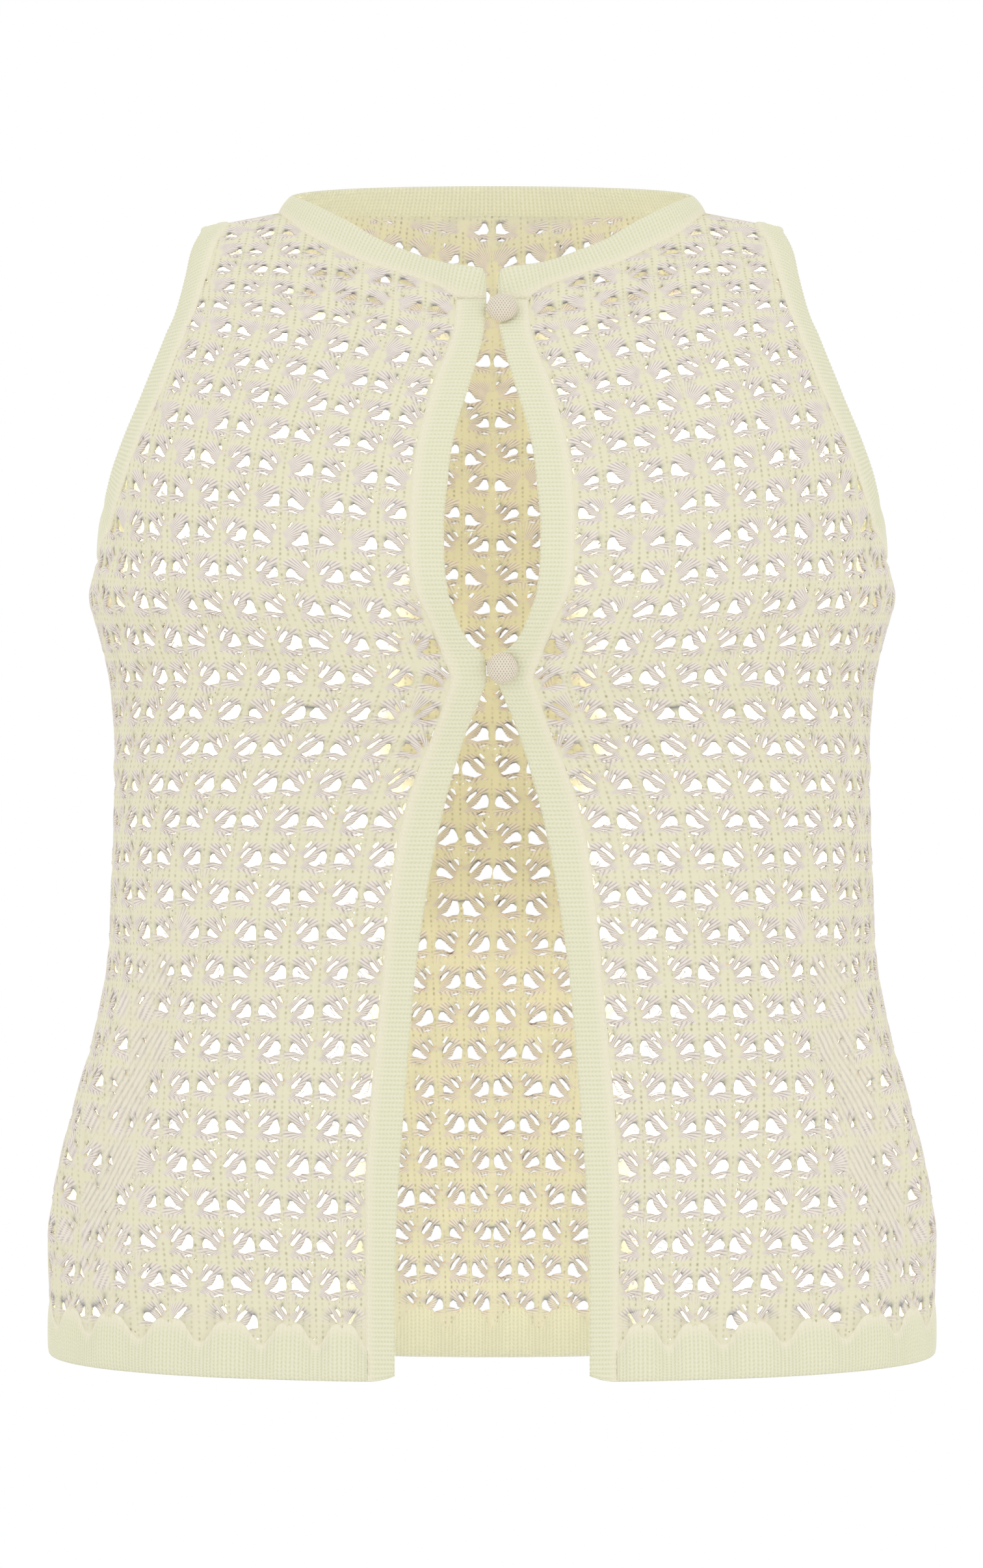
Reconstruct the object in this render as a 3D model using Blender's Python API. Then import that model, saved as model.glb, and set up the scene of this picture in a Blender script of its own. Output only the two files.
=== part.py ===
"""A sleeveless lace-knit top with a buttoned front, filled out as if it were worn, with no wearer.

The cloth is cut as three lace panels (two fronts and a back), edged with rib bands: two plackets, a
neckband, a ring round each armhole and a band along each hem. Two covered buttons sit on the wearer's
left placket, and two elastic loops on the right one hold them.

Sizes are in millimetres up to the last step, which turns them to metres. +Z is up, +X is the wearer's
left and the front faces -Y. The origin is on the shoulder line, midway between the shoulders, at the
height of the points where the neckband crosses them. Heights are measured from it, so they are negative.

Every panel is a flat pattern piece. Its points are (s, v): s is the length of cloth from the centre line
round the body, and v the length of cloth up from the hem. The pattern is cut, triangulated, and laid on
the form that the two tables of sections describe.
"""

from collections import namedtuple
import itertools
import math

import bmesh
import bpy
import numpy as np
from mathutils import Vector
from mathutils.geometry import delaunay_2d_cdt

MM = 0.001

# ---------------------------------------------------------------- the form

# The side line, shared by the front and the back. Roundness is the power of the section's superellipse.
SideRow = namedtuple("SideRow", "height half_width roundness")
SIDE_LINE = [
    SideRow(-600, 216.6, 2.35),
    SideRow(-511, 216.0, 2.35),
    SideRow(-485, 213.6, 2.35),
    SideRow(-447, 205.0, 2.30),
    SideRow(-409, 194.3, 2.30),
    SideRow(-370, 187.7, 2.30),
    SideRow(-319, 185.7, 2.30),
    SideRow(-275, 184.5, 2.30),
    SideRow(-242, 186.5, 2.30),
    SideRow(-216, 192.2, 2.25),
    SideRow(-197, 197.0, 2.25),
    SideRow(-178, 192.8, 2.30),
    SideRow(-140, 189.8, 2.40),
    SideRow(-100, 175.8, 2.60),
    SideRow(-60, 158.3, 3.00),
    SideRow(-30, 151.5, 3.60),
    SideRow(-12, 149.0, 4.00),
    SideRow(0, 146.2, 4.00),
]

# How far the centre front and the centre back stand out from the plane of the side lines.
DepthRow = namedtuple("DepthRow", "height depth")
FRONT_DEPTH = [
    DepthRow(-600, 143),
    DepthRow(-567, 140),
    DepthRow(-480, 130),
    DepthRow(-400, 120),
    DepthRow(-330, 118),
    DepthRow(-275, 124),
    DepthRow(-235, 137),
    DepthRow(-196, 145),
    DepthRow(-176, 140),
    DepthRow(-140, 127),
    DepthRow(-96, 104),
    DepthRow(-60, 77),
    DepthRow(-30, 48),
    DepthRow(-12, 27),
    DepthRow(-6, 18),
    DepthRow(-2, 9),
    DepthRow(0, 0),
]
BACK_DEPTH = [
    DepthRow(-600, 127),
    DepthRow(-480, 122),
    DepthRow(-400, 114),
    DepthRow(-330, 105),
    DepthRow(-275, 102),
    DepthRow(-235, 108),
    DepthRow(-196, 114),
    DepthRow(-150, 112),
    DepthRow(-100, 103),
    DepthRow(-60, 92),
    DepthRow(-30, 82),
    DepthRow(-12, 76),
    DepthRow(0, 72),
]

# The shoulder line drops towards the armhole. The drop fades out down the panel.
ShoulderRow = namedtuple("ShoulderRow", "across height")
SHOULDER_LINE = [
    ShoulderRow(0, -1.5),
    ShoulderRow(60, -3.0),
    ShoulderRow(105, -8.5),
    ShoulderRow(118, -11.0),
    ShoulderRow(132, -13.7),
    ShoulderRow(143, -16.5),
    ShoulderRow(150, -20.0),
]
SHOULDER_FADE = 70.0

# Towards the shoulder the back's section turns into the neck's curve, which is rounder than an ellipse.
NECK_HALF_WIDTH = 105.0
BACK_NECK_DEPTH = 72.0
BACK_NECK_ROUNDNESS = 0.7
BACK_NECK_BLEND = 1.6

# Soft folds in the hanging cloth: a line from one point to another on the front or the back, as the
# share of the way from the centre line to the side, with the height of its ridge over the form. Each
# runs on past its ends for a share of its length while it fades, and none reaches the side seam.
FOLD_OVERRUN = 0.2
FOLD_FREE_SHARE = 0.06
FoldRow = namedtuple("FoldRow", "share_from height_from share_to height_to half_width relief")
FRONT_FOLDS = [
    FoldRow(0.58, -330, 0.84, -560, 13, -3.4),
    FoldRow(0.68, -340, 0.93, -540, 12, 3.0),
    FoldRow(0.47, -400, 0.66, -567, 14, 2.2),
    FoldRow(0.30, -470, 0.38, -590, 15, -2.0),
    FoldRow(0.62, -195, 0.36, -245, 12, -2.2),
    FoldRow(0.78, -235, 0.50, -215, 12, 1.8),
]
BACK_FOLDS = [
    FoldRow(0.10, -360, 0.22, -560, 15, -3.0),
    FoldRow(0.30, -330, 0.42, -570, 15, 2.6),
    FoldRow(0.55, -300, 0.66, -540, 14, -3.2),
    FoldRow(0.72, -330, 0.88, -560, 13, 3.0),
    FoldRow(0.40, -235, 0.05, -262, 13, -2.2),
    FoldRow(0.70, -215, 0.35, -280, 13, 2.0),
]

# ---------------------------------------------------------------- seams and edges

HEM_HEIGHT = -567.0
BACK_HEM_DIP = 18.3
SCALLOP_VALLEY = 15.0
SCALLOP_PEAK = 25.0

PlacketRow = namedtuple("PlacketRow", "height seam edge")
PLACKET = [
    PlacketRow(-567, 58.0, 45.3),
    PlacketRow(-530, 58.1, 45.4),
    PlacketRow(-480, 58.3, 44.0),
    PlacketRow(-450, 56.8, 41.9),
    PlacketRow(-415, 54.0, 39.2),
    PlacketRow(-378, 50.5, 36.0),
    PlacketRow(-345, 47.4, 31.4),
    PlacketRow(-318, 43.6, 26.6),
    PlacketRow(-298, 39.0, 22.0),
    PlacketRow(-280, 32.6, 17.0),
    PlacketRow(-262, 25.2, 11.0),
    PlacketRow(-248, 20.6, 5.2),
    PlacketRow(-240, 18.2, 2.7),
    PlacketRow(-231, 21.2, 3.2),
    PlacketRow(-222, 24.6, 11.4),
    PlacketRow(-211, 29.5, 16.8),
    PlacketRow(-199, 34.9, 20.6),
    PlacketRow(-184, 37.1, 22.2),
    PlacketRow(-168, 37.5, 22.4),
    PlacketRow(-150, 36.7, 20.9),
    PlacketRow(-134, 34.9, 19.2),
    PlacketRow(-120, 32.1, 16.2),
    PlacketRow(-108, 28.8, 12.8),
    PlacketRow(-96, 25.2, 9.2),
    PlacketRow(-84, 20.6, 6.0),
    PlacketRow(-72, 17.2, 3.6),
    PlacketRow(-58, 16.2, 2.8),
]
PLACKET_TOP = -58.0
PLACKET_CORNER_RISE = 2.8  # the hem's corner at the front edge is rounded up by this much

# The neckband from the front edge to the shoulder: its seam lies on the form, and its edge stands up.
NeckRow = namedtuple("NeckRow", "seam_x seam_height edge_x edge_height lean")
FRONT_NECK = [
    NeckRow(2.8, -57.6, 2.8, -47.0, 1.5),
    NeckRow(9.0, -57.4, 5.0, -42.4, 3.0),
    NeckRow(16.2, -56.0, 13.0, -40.9, 4.0),
    NeckRow(27.0, -49.6, 24.7, -38.5, 4.0),
    NeckRow(43.0, -43.4, 39.2, -33.2, 4.0),
    NeckRow(60.0, -37.0, 53.8, -26.7, 4.0),
    NeckRow(76.0, -27.4, 70.5, -16.1, 4.0),
    NeckRow(91.0, -16.5, 84.5, -8.0, 3.0),
    NeckRow(105.0, 0.0, 98.0, -0.4, 0.0),
]
BACK_NECK_EDGE_X = 98.0
BACK_NECK_EDGE_DEPTH = 71.0
BACK_NECK_EDGE_POWER = 1.2
BACK_NECK_TOP = 13.5
NECKBAND_TURN = 0.7  # how far the band's middle has turned from the lace's direction to its edge's

# The front armhole's edge and the seam of its band, from the underarm up: heights, and how far each
# reaches from the side line along the cloth. The back's reaches less far.
ArmholeRow = namedtuple("ArmholeRow", "edge_height edge_reach seam_height seam_reach")
ARMHOLE = [
    ArmholeRow(-164.5, 0.0, -177.5, 0.0),
    ArmholeRow(-163.0, 14.0, -175.8, 17.0),
    ArmholeRow(-157.0, 28.0, -168.5, 35.5),
    ArmholeRow(-145.0, 39.5, -152.0, 51.0),
    ArmholeRow(-125.0, 46.0, -127.0, 59.0),
    ArmholeRow(-100.0, 45.0, -100.0, 58.0),
    ArmholeRow(-70.0, 36.0, -68.0, 48.5),
    ArmholeRow(-40.0, 26.0, -36.0, 38.0),
    ArmholeRow(-15.0, 16.0, -12.0, 27.5),
    ArmholeRow(-4.0, 8.5, -3.0, 20.5),
    ArmholeRow(0.0, 0.0, 0.0, 13.0),
]
BACK_ARMHOLE_SHARE = 0.87
ARMHOLE_STATIONS = 20

# ---------------------------------------------------------------- cloth

LACE_THICKNESS = 1.6
BAND_THICKNESS = 2.4
BAND_CROWN = 0.3
SEAM_GAP = 0.3
MITRE_LIMIT = 0.4  # an outline's sharp corner moves in by no more than the gap over this

# How far apart the points along each seam are.
SEAM_STEP = 14.0
PLACKET_STEP = 9.0
NECK_STEP = 8.0
SIDE_STEP = 24.0
SHOULDER_STATIONS = 4
SCALLOP_STATIONS = 6
SCALLOP_MARGIN = 4.0

# The lace: fans in half-drop rows. A row's height, and the width of one repeat at some heights.
LaceRow = namedtuple("LaceRow", "row height back_height tilt")
LACE_ROWS = [
    LaceRow(-2, -578.0, -596.0, 0.0),
    LaceRow(0, -542.5, -560.0, 0.0),
    LaceRow(14, -291.0, -300.0, 0.0),
    LaceRow(20, -192.0, -196.0, 1.0),
    LaceRow(24, -125.5, -128.0, 3.5),
    LaceRow(28, -67.5, -64.0, 4.0),
    LaceRow(32, -19.5, 0.0, 3.5),
    LaceRow(34, 4.0, 36.0, 3.5),
]
RepeatRow = namedtuple("RepeatRow", "height width growth gather")
LACE_REPEAT = [
    RepeatRow(-600, 22.5, 1.6, 1.0),
    RepeatRow(-550, 22.5, 1.6, 2.0),
    RepeatRow(-480, 25.5, 1.1, 6.0),
    RepeatRow(-400, 29.5, 0.5, 6.0),
    RepeatRow(-330, 32.0, 0.1, 0.0),
    RepeatRow(-280, 33.0, 0.0, 0.0),
    RepeatRow(-180, 31.5, 0.0, 0.0),
    RepeatRow(-60, 31.0, 0.0, 0.0),
    RepeatRow(0, 29.0, 0.0, 0.0),
]
GATHER_FROM, GATHER_TO = (3.8, -358.0), (5.2, -536.0)
GATHER_SPREAD = 0.6
TILT_COLUMN = 2.0
# The biggest gap of a repeat, as shares of the repeat's width and of the row's height, from the fan's foot.
GAP_CORNERS = [(0.15, -0.07), (0.465, -0.03), (0.465, 0.24), (0.31, 0.22)]
GAP_EVERY = 3
GAP_EDGE_MARGIN = 2.2
FRONT_COLUMNS, BACK_COLUMNS = 9, 10
FRONT_ROWS, BACK_ROWS = 32, 33

COLOURS = {
    "lace": (0.83, 0.80, 0.61, 1.0),
    "rib": (0.77, 0.80, 0.56, 1.0),
    "button": (0.76, 0.70, 0.57, 1.0),
    "loop": (0.78, 0.78, 0.62, 1.0),
}

# ---------------------------------------------------------------- curves


def column(rows, name):
    return np.array([getattr(row, name) for row in rows], float)


def curve_through(xs, ys, at):
    """A smooth curve through points, which never swings past them. It is flat beyond its ends."""
    xs, ys, at = (np.asarray(values, float) for values in (xs, ys, at))
    steps = np.diff(xs)
    rises = np.diff(ys) / steps
    slopes = np.concatenate([rises[:1], np.zeros(len(xs) - 2), rises[-1:]])
    before, after = rises[:-1], rises[1:]
    same_way = before * after > 0
    slopes[1:-1][same_way] = 2 * (before * after)[same_way] / (before + after)[same_way]
    k = np.clip(np.searchsorted(xs, at, side="right") - 1, 0, len(xs) - 2)
    t = np.clip((at - xs[k]) / steps[k], 0.0, 1.0)
    rise = ys[k + 1] - ys[k]
    start, end = slopes[k] * steps[k], slopes[k + 1] * steps[k]
    return ys[k] + t * (start + t * (3 * rise - 2 * start - end + t * (start + end - 2 * rise)))


def read(rows, of, name, at):
    return curve_through(column(rows, of), column(rows, name), at)


def running_length(points):
    steps = np.linalg.norm(np.diff(np.asarray(points, float), axis=0), axis=1)
    return np.concatenate([[0.0], np.cumsum(steps)])


def even_stations(points, step):
    """A smooth line through a few points, read at even steps along it."""
    points = np.asarray(points, float)
    length = running_length(points)
    count = max(2, round(length[-1] / step) + 1)
    at = np.linspace(0.0, length[-1], count)
    return np.stack([curve_through(length, points[:, k], at) for k in range(points.shape[1])], axis=1)


# ---------------------------------------------------------------- the form as a surface


class Form:
    """The front's or the back's cloth surface, from the centre line to the side, as a grid of points."""

    LEVEL_STEP = 4.0
    ACROSS = 129
    SECTION_POINTS = 400
    NORMAL_REACH = 3.0
    TURN = 10.0
    ON_SIDE = 2.0
    ON_TOP = 1.0

    def __init__(self, front):
        self.front = front
        depths = FRONT_DEPTH if front else BACK_DEPTH
        heights, depth = column(depths, "height"), column(depths, "depth")
        length = running_length(np.stack([heights, depth], axis=1))
        self.levels = round(length[-1] / self.LEVEL_STEP)
        self.top = length[-1]
        self.v = np.linspace(0.0, self.top, self.levels + 1)
        self.height = curve_through(length, heights, self.v)
        self.depth = curve_through(length, depth, self.v)
        rows = [self.section(h, d) for h, d in zip(self.height, self.depth)]
        self.reach = np.array([length for _, length in rows])
        self.points = np.stack([points for points, _ in rows])
        self.points += self.relief()[:, :, None] * self.grid_normals()

    def section(self, height, depth):
        """One level's points, even along the cloth, and the length of the cloth from centre to side."""
        turn = np.linspace(0.0, math.pi / 2, self.SECTION_POINTS)
        power = 2.0 / read(SIDE_LINE, "height", "roundness", height)
        half_width = read(SIDE_LINE, "height", "half_width", height)
        x = half_width * np.sin(turn) ** power
        y = depth * np.maximum(np.cos(turn), 0.0) ** power
        near_shoulder = max(0.0, 1.0 + height / SHOULDER_FADE)
        if not self.front:
            inside = np.clip(1.0 - (x / NECK_HALF_WIDTH) ** 2, 0.0, 1.0)
            blend = near_shoulder**BACK_NECK_BLEND
            y = y * (1.0 - blend) + BACK_NECK_DEPTH * inside**BACK_NECK_ROUNDNESS * blend
        z = height + near_shoulder * read(SHOULDER_LINE, "across", "height", x)
        points = np.stack([x, -y if self.front else y, z], axis=1)
        length = running_length(points)
        at = np.linspace(0.0, length[-1], self.ACROSS)
        return np.stack([np.interp(at, length, points[:, k]) for k in range(3)], axis=1), length[-1]

    def grid_normals(self):
        along = np.gradient(self.points, axis=1)
        up = np.gradient(self.points, axis=0)
        normals = np.cross(along, up) * (1.0 if self.front else -1.0)
        return normals / np.linalg.norm(normals, axis=2, keepdims=True)

    def relief(self):
        """The folds' height over the form at each grid point, none of it at the side seam."""
        share = np.linspace(0.0, 1.0, self.ACROSS)[None, :]
        across = share * self.reach[:, None]
        height = self.height[:, None]
        total = np.zeros((self.levels + 1, self.ACROSS))
        for fold in FRONT_FOLDS if self.front else BACK_FOLDS:
            run = (height - fold.height_from) / (fold.height_to - fold.height_from)
            run = np.clip(run, -FOLD_OVERRUN, 1.0 + FOLD_OVERRUN)
            line = (fold.share_from + run * (fold.share_to - fold.share_from)) * self.reach[:, None]
            ends = np.clip(1.0 - np.abs(2.0 * run - 1.0) ** 3, 0.0, 1.0)
            total += fold.relief * ends * np.exp(-(((across - line) / fold.half_width) ** 2))
        return total * np.clip((1.0 - share) / FOLD_FREE_SHARE, 0.0, 1.0)

    def length_up(self, height):
        """The length of cloth from the bottom of the form up to a height."""
        return np.interp(height, self.height, self.v)

    def height_at(self, v):
        return np.interp(v, self.v, self.height)

    def reach_at(self, v):
        return np.interp(v, self.v, self.reach)

    def along(self, x, v):
        """The length of cloth from the centre line out to x, at each v."""
        found = []
        for across, up in zip(np.atleast_1d(x), np.atleast_1d(v)):
            level = min(int(up / self.top * self.levels), self.levels - 1)
            part = up / self.top * self.levels - level
            line = self.points[level] * (1.0 - part) + self.points[level + 1] * part
            share = np.interp(abs(across), line[:, 0], np.linspace(0.0, 1.0, self.ACROSS))
            found.append(math.copysign(share * self.reach_at(up), across))
        return np.array(found)

    def at(self, s, v):
        """Points of the surface. A negative s is on the wearer's right."""
        s, v = np.asarray(s, float), np.clip(np.asarray(v, float), 0.0, self.top)
        row = v / self.top * self.levels
        low = np.minimum(row.astype(int), self.levels - 1)
        part = (row - low)[..., None]
        share = np.clip(np.abs(s) / self.reach_at(v), 0.0, 1.0) * (self.ACROSS - 1)
        left = np.minimum(share.astype(int), self.ACROSS - 2)
        over = (share - left)[..., None]
        lower = self.points[low, left] * (1 - over) + self.points[low, left + 1] * over
        upper = self.points[low + 1, left] * (1 - over) + self.points[low + 1, left + 1] * over
        found = lower * (1 - part) + upper * part
        found[..., 0] *= np.where(s < 0, -1.0, 1.0)
        return found

    def normals(self, s, v):
        """Outward directions. The side seam's don't lean fore or aft, and the shoulder seam's point up."""
        s, v = np.asarray(s, float), np.asarray(v, float)
        reach = self.NORMAL_REACH
        along = self.at(s + reach, v) - self.at(s - reach, v)
        up = self.at(s, v + reach) - self.at(s, v - reach)
        found = np.cross(along, up) * (1.0 if self.front else -1.0)
        found /= np.linalg.norm(found, axis=-1, keepdims=True)
        from_shoulder = np.clip((NECK_HALF_WIDTH - np.abs(self.at(s, v)[..., 0])) / self.TURN, 0.0, 1.0)
        on_side = np.abs(np.abs(s) - self.reach_at(v)) < self.ON_SIDE
        on_top = v > self.top - self.ON_TOP
        found[on_side, 1] = 0.0
        lying = np.where(on_top, 1.0 - from_shoulder, 0.0)[..., None]
        found = found * (1.0 - lying) + np.array([0.0, 0.0, 1.0]) * lying
        return found / np.linalg.norm(found, axis=-1, keepdims=True)


FRONT = Form(True)
BACK = Form(False)

# ---------------------------------------------------------------- the lace's lattice


def lace_point(form, seam_s, column_number, row_number):
    """Where a point of the lace lies: its column counts from the seam line seam_s(v) outwards."""
    name = "height" if form.front else "back_height"
    tilt = read(LACE_ROWS, "row", "tilt", row_number)
    height = read(LACE_ROWS, "row", name, row_number) + tilt * (column_number - TILT_COLUMN)
    v = form.length_up(height)
    width = read(LACE_REPEAT, "height", "width", height)
    growth = read(LACE_REPEAT, "height", "growth", height)
    run = (height - GATHER_FROM[1]) / (GATHER_TO[1] - GATHER_FROM[1])
    gathered = GATHER_FROM[0] + run * (GATHER_TO[0] - GATHER_FROM[0])
    pull = read(LACE_REPEAT, "height", "gather", height)
    pull = pull * (math.tanh((column_number - gathered) / GATHER_SPREAD) + math.tanh(gathered / GATHER_SPREAD))
    s = seam_s(v) + width * column_number + growth * column_number**2 - pull
    return float(s), float(v)


def inside_polygon(point, polygon):
    x, y = point
    a, b = polygon, np.roll(polygon, -1, axis=0)
    crosses = (a[:, 1] > y) != (b[:, 1] > y)
    rise = np.where(crosses, b[:, 1] - a[:, 1], 1.0)
    at = a[:, 0] + (y - a[:, 1]) / rise * (b[:, 0] - a[:, 0])
    return bool(np.sum(crosses & (x < at)) % 2)


def clear_of_edge(point, polygon, margin):
    a, b = polygon, np.roll(polygon, -1, axis=0)
    run = b - a
    t = np.clip(np.sum((point - a) * run, axis=1) / np.maximum(np.sum(run * run, axis=1), 1e-9), 0, 1)
    return np.min(np.linalg.norm(a + t[:, None] * run - point, axis=1)) > margin


def lace_gaps(form, outline, seam_s, side, columns, rows):
    """The gaps that are cut through, one in every GAP_EVERY repeats, and a point in each repeat left whole."""
    gaps, whole = [], []
    for row in range(rows):
        for step in range(columns):
            number = step + (0.0 if row % 2 else 0.5)
            offset = round(number - row / 2 - 0.5)
            if (row - offset) % GAP_EVERY:
                s, v = lace_point(form, seam_s, number, row)
                middle = np.array([side * s, v])
                if inside_polygon(middle, outline) and clear_of_edge(middle, outline, GAP_EDGE_MARGIN):
                    whole.append(middle)
                continue
            corners = [lace_point(form, seam_s, number + c, row + r) for c, r in GAP_CORNERS]
            corners = np.array([(side * s, v) for s, v in corners])
            fits = all(
                inside_polygon(p, outline) and clear_of_edge(p, outline, GAP_EDGE_MARGIN) for p in corners
            )
            if fits:
                gaps.append(corners)
    return gaps, whole


# ---------------------------------------------------------------- walls


def material(name):
    found = bpy.data.materials.get(name)
    if found is None:
        found = bpy.data.materials.new(name)
        found.use_nodes = True
        shader = found.node_tree.nodes["Principled BSDF"]
        shader.inputs["Base Color"].default_value = COLOURS[name]
        shader.inputs["Roughness"].default_value = 0.9
        shader.inputs["Metallic"].default_value = 0.0
    return found


def add_object(name, points, faces, cloth):
    """A mesh object from points in millimetres, with its faces turned outwards."""
    mesh = bpy.data.meshes.new(name)
    shape = bmesh.new()
    corners = [shape.verts.new(Vector(point) * MM) for point in points]
    for face in faces:
        shape.faces.new([corners[k] for k in face])
    bmesh.ops.recalc_face_normals(shape, faces=shape.faces)
    if shape.calc_volume(signed=True) < 0:
        bmesh.ops.reverse_faces(shape, faces=shape.faces)
    shape.to_mesh(mesh)
    shape.free()
    mesh.shade_smooth()
    mesh.set_sharp_from_angle(angle=math.radians(40))
    mesh.materials.append(material(cloth))
    piece = bpy.data.objects.new(name, mesh)
    bpy.context.scene.collection.objects.link(piece)
    return piece


def wall(middle, normals, half_thickness, triangles):
    """Two skins on either side of a middle surface, joined round every free edge."""
    count = len(middle)
    points = np.concatenate([middle + normals * half_thickness, middle - normals * half_thickness])
    faces = [tuple(face) for face in triangles] + [tuple(k + count for k in face[::-1]) for face in triangles]
    edges = {}
    for face in triangles:
        for a, b in zip(face, face[1:] + face[:1]):
            edges[(a, b)] = edges.get((b, a)) is None
            if not edges[(a, b)]:
                edges[(b, a)] = False
    faces += [(b, a, a + count, b + count) for (a, b), free in edges.items() if free]
    return points, faces


def moved_in(outline, gap):
    """A closed outline, counterclockwise, moved inwards by a gap."""
    before = outline - np.roll(outline, 1, axis=0)
    after = np.roll(outline, -1, axis=0) - outline
    before /= np.linalg.norm(before, axis=1, keepdims=True)
    after /= np.linalg.norm(after, axis=1, keepdims=True)
    left_before = np.stack([-before[:, 1], before[:, 0]], axis=1)
    left_after = np.stack([-after[:, 1], after[:, 0]], axis=1)
    bisector = left_before + left_after
    bisector /= np.linalg.norm(bisector, axis=1, keepdims=True)
    share = np.maximum(np.sum(bisector * left_before, axis=1), MITRE_LIMIT)
    return outline + bisector * (gap / share)[:, None]


def panel(name, form, outline, seam_s, sides, columns, rows):
    """A lace panel: its flat outline and gaps, triangulated, laid on the form and given its thickness."""
    outline = moved_in(outline, SEAM_GAP / 2)
    gaps, whole = [], []
    for side in sides:
        found, kept = lace_gaps(form, outline, seam_s, side, columns, rows)
        gaps += found
        whole += kept
    flat = [tuple(p) for p in outline]
    edges = [(k, (k + 1) % len(flat)) for k in range(len(flat))]
    gap_of = [None] * len(flat)
    for number, gap in enumerate(gaps):
        first = len(flat)
        flat += [tuple(p) for p in gap]
        edges += [(first + k, first + (k + 1) % len(gap)) for k in range(len(gap))]
        gap_of += [number] * len(gap)
    flat += [tuple(p) for p in whole]
    gap_of += [None] * len(whole)
    found, _, triangles, *_ = delaunay_2d_cdt([Vector(p) for p in flat], edges, [], 1, 1e-6)
    kept = []
    for triangle in triangles:
        gap = {gap_of[k] for k in triangle}
        if None in gap or len(gap) > 1:
            kept.append(tuple(triangle))
    flat = np.array([tuple(p) for p in found])
    middle = form.at(flat[:, 0], flat[:, 1])
    normals = form.normals(flat[:, 0], flat[:, 1])
    points, faces = wall(middle, normals, LACE_THICKNESS / 2, kept)
    add_object(name, points, faces, "lace")


def band(name, rows, normals, closed):
    """A strip of rib from its seam, where it is as thin as the lace, over its thicker middle to its edge."""
    across = len(rows)
    count = len(rows[0])
    outer_half = (LACE_THICKNESS / 2, BAND_THICKNESS / 2 + BAND_CROWN, BAND_THICKNESS / 2)
    inner_half = (LACE_THICKNESS / 2, BAND_THICKNESS / 2, BAND_THICKNESS / 2)
    outer = [r + n * half for r, n, half in zip(rows, normals, outer_half)]
    inner = [r - n * half for r, n, half in zip(rows, normals, inner_half)]
    ring = outer + inner[::-1]
    points = np.concatenate(ring)
    faces = []
    for k in range(count if closed else count - 1):
        after = (k + 1) % count
        for j in range(2 * across):
            beyond = (j + 1) % (2 * across)
            faces.append((j * count + k, j * count + after, beyond * count + after, beyond * count + k))
    if not closed:
        faces.append(tuple(j * count for j in range(2 * across)))
        faces.append(tuple(j * count + count - 1 for j in range(2 * across))[::-1])
    add_object(name, points, faces, "rib")


# ---------------------------------------------------------------- seam lines


def placket_line(name, heights):
    v = FRONT.length_up(heights)
    x = read(PLACKET, "height", name, heights)
    return np.stack([FRONT.along(x, v), v], axis=1)


def placket_seam(v):
    height = FRONT.height_at(v)
    return float(FRONT.along(read(PLACKET, "height", "seam", height), v)[0])


def centre_back(_v):
    return 0.0


def hem_height(form, s):
    """The bottom edge. The back dips a little lower than the front at its centre."""
    if form.front:
        return HEM_HEIGHT
    reach = form.reach_at(form.length_up(HEM_HEIGHT))
    return HEM_HEIGHT - BACK_HEM_DIP * math.cos(math.pi / 2 * min(1.0, abs(s) / reach))


def hem_seam(form, seam_s):
    """The scalloped line between lace and hem band, out to the side: valleys at whole columns."""
    found = []
    for step in itertools.count():
        number = step / SCALLOP_STATIONS
        s, _ = lace_point(form, seam_s, number, 0)
        wave = (1 - math.cos(2 * math.pi * number)) / 2
        height = hem_height(form, s) + SCALLOP_VALLEY + wave * (SCALLOP_PEAK - SCALLOP_VALLEY)
        v = float(form.length_up(height))
        reach = float(form.reach_at(v))
        if s > reach - SCALLOP_MARGIN:
            return np.array(found + [(reach, v)])
        found.append((s, v))


def armhole_lines(form):
    """The armhole's edge, the middle of its band and its seam, from the underarm to the shoulder line."""
    share = 1.0 if form.front else BACK_ARMHOLE_SHARE
    edge_reach = column(ARMHOLE, "edge_reach") * share
    width = column(ARMHOLE, "seam_reach") - column(ARMHOLE, "edge_reach")
    edge_v = form.length_up(column(ARMHOLE, "edge_height"))
    seam_v = form.length_up(column(ARMHOLE, "seam_height"))
    length = running_length(np.stack([edge_reach + width, seam_v], axis=1))
    at = np.linspace(0.0, length[-1], ARMHOLE_STATIONS + 1)
    edge = [curve_through(length, values, at) for values in (edge_reach, edge_v)]
    seam = [curve_through(length, values, at) for values in (edge_reach + width, seam_v)]
    lines = []
    for part in (0.0, 0.5, 1.0):
        reach = edge[0] * (1.0 - part) + seam[0] * part
        v = edge[1] * (1.0 - part) + seam[1] * part
        reach[0], v[-1] = 0.0, form.top
        lines.append(np.stack([form.reach_at(v) - reach, v], axis=1))
    return lines


def side_line(form, v_low, v_high):
    """The side seam's inner points, at the same heights on the front and the back."""
    low, high = form.height_at(v_low), form.height_at(v_high)
    heights = np.linspace(low, high, round((high - low) / SIDE_STEP) + 1)[1:-1]
    v = form.length_up(heights)
    return np.stack([form.reach_at(v), v], axis=1)


def front_neck_seam():
    """From the front edge of the placket's top corner to the shoulder line."""
    rows = FRONT_NECK[2:]
    table = [(row.seam_x, row.seam_height) for row in rows]
    line = even_stations(table, SEAM_STEP)
    line[-1] = table[-1]
    v = FRONT.length_up(line[:, 1])
    v[-1] = FRONT.top
    return np.stack([FRONT.along(line[:, 0], v), v], axis=1)


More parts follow.
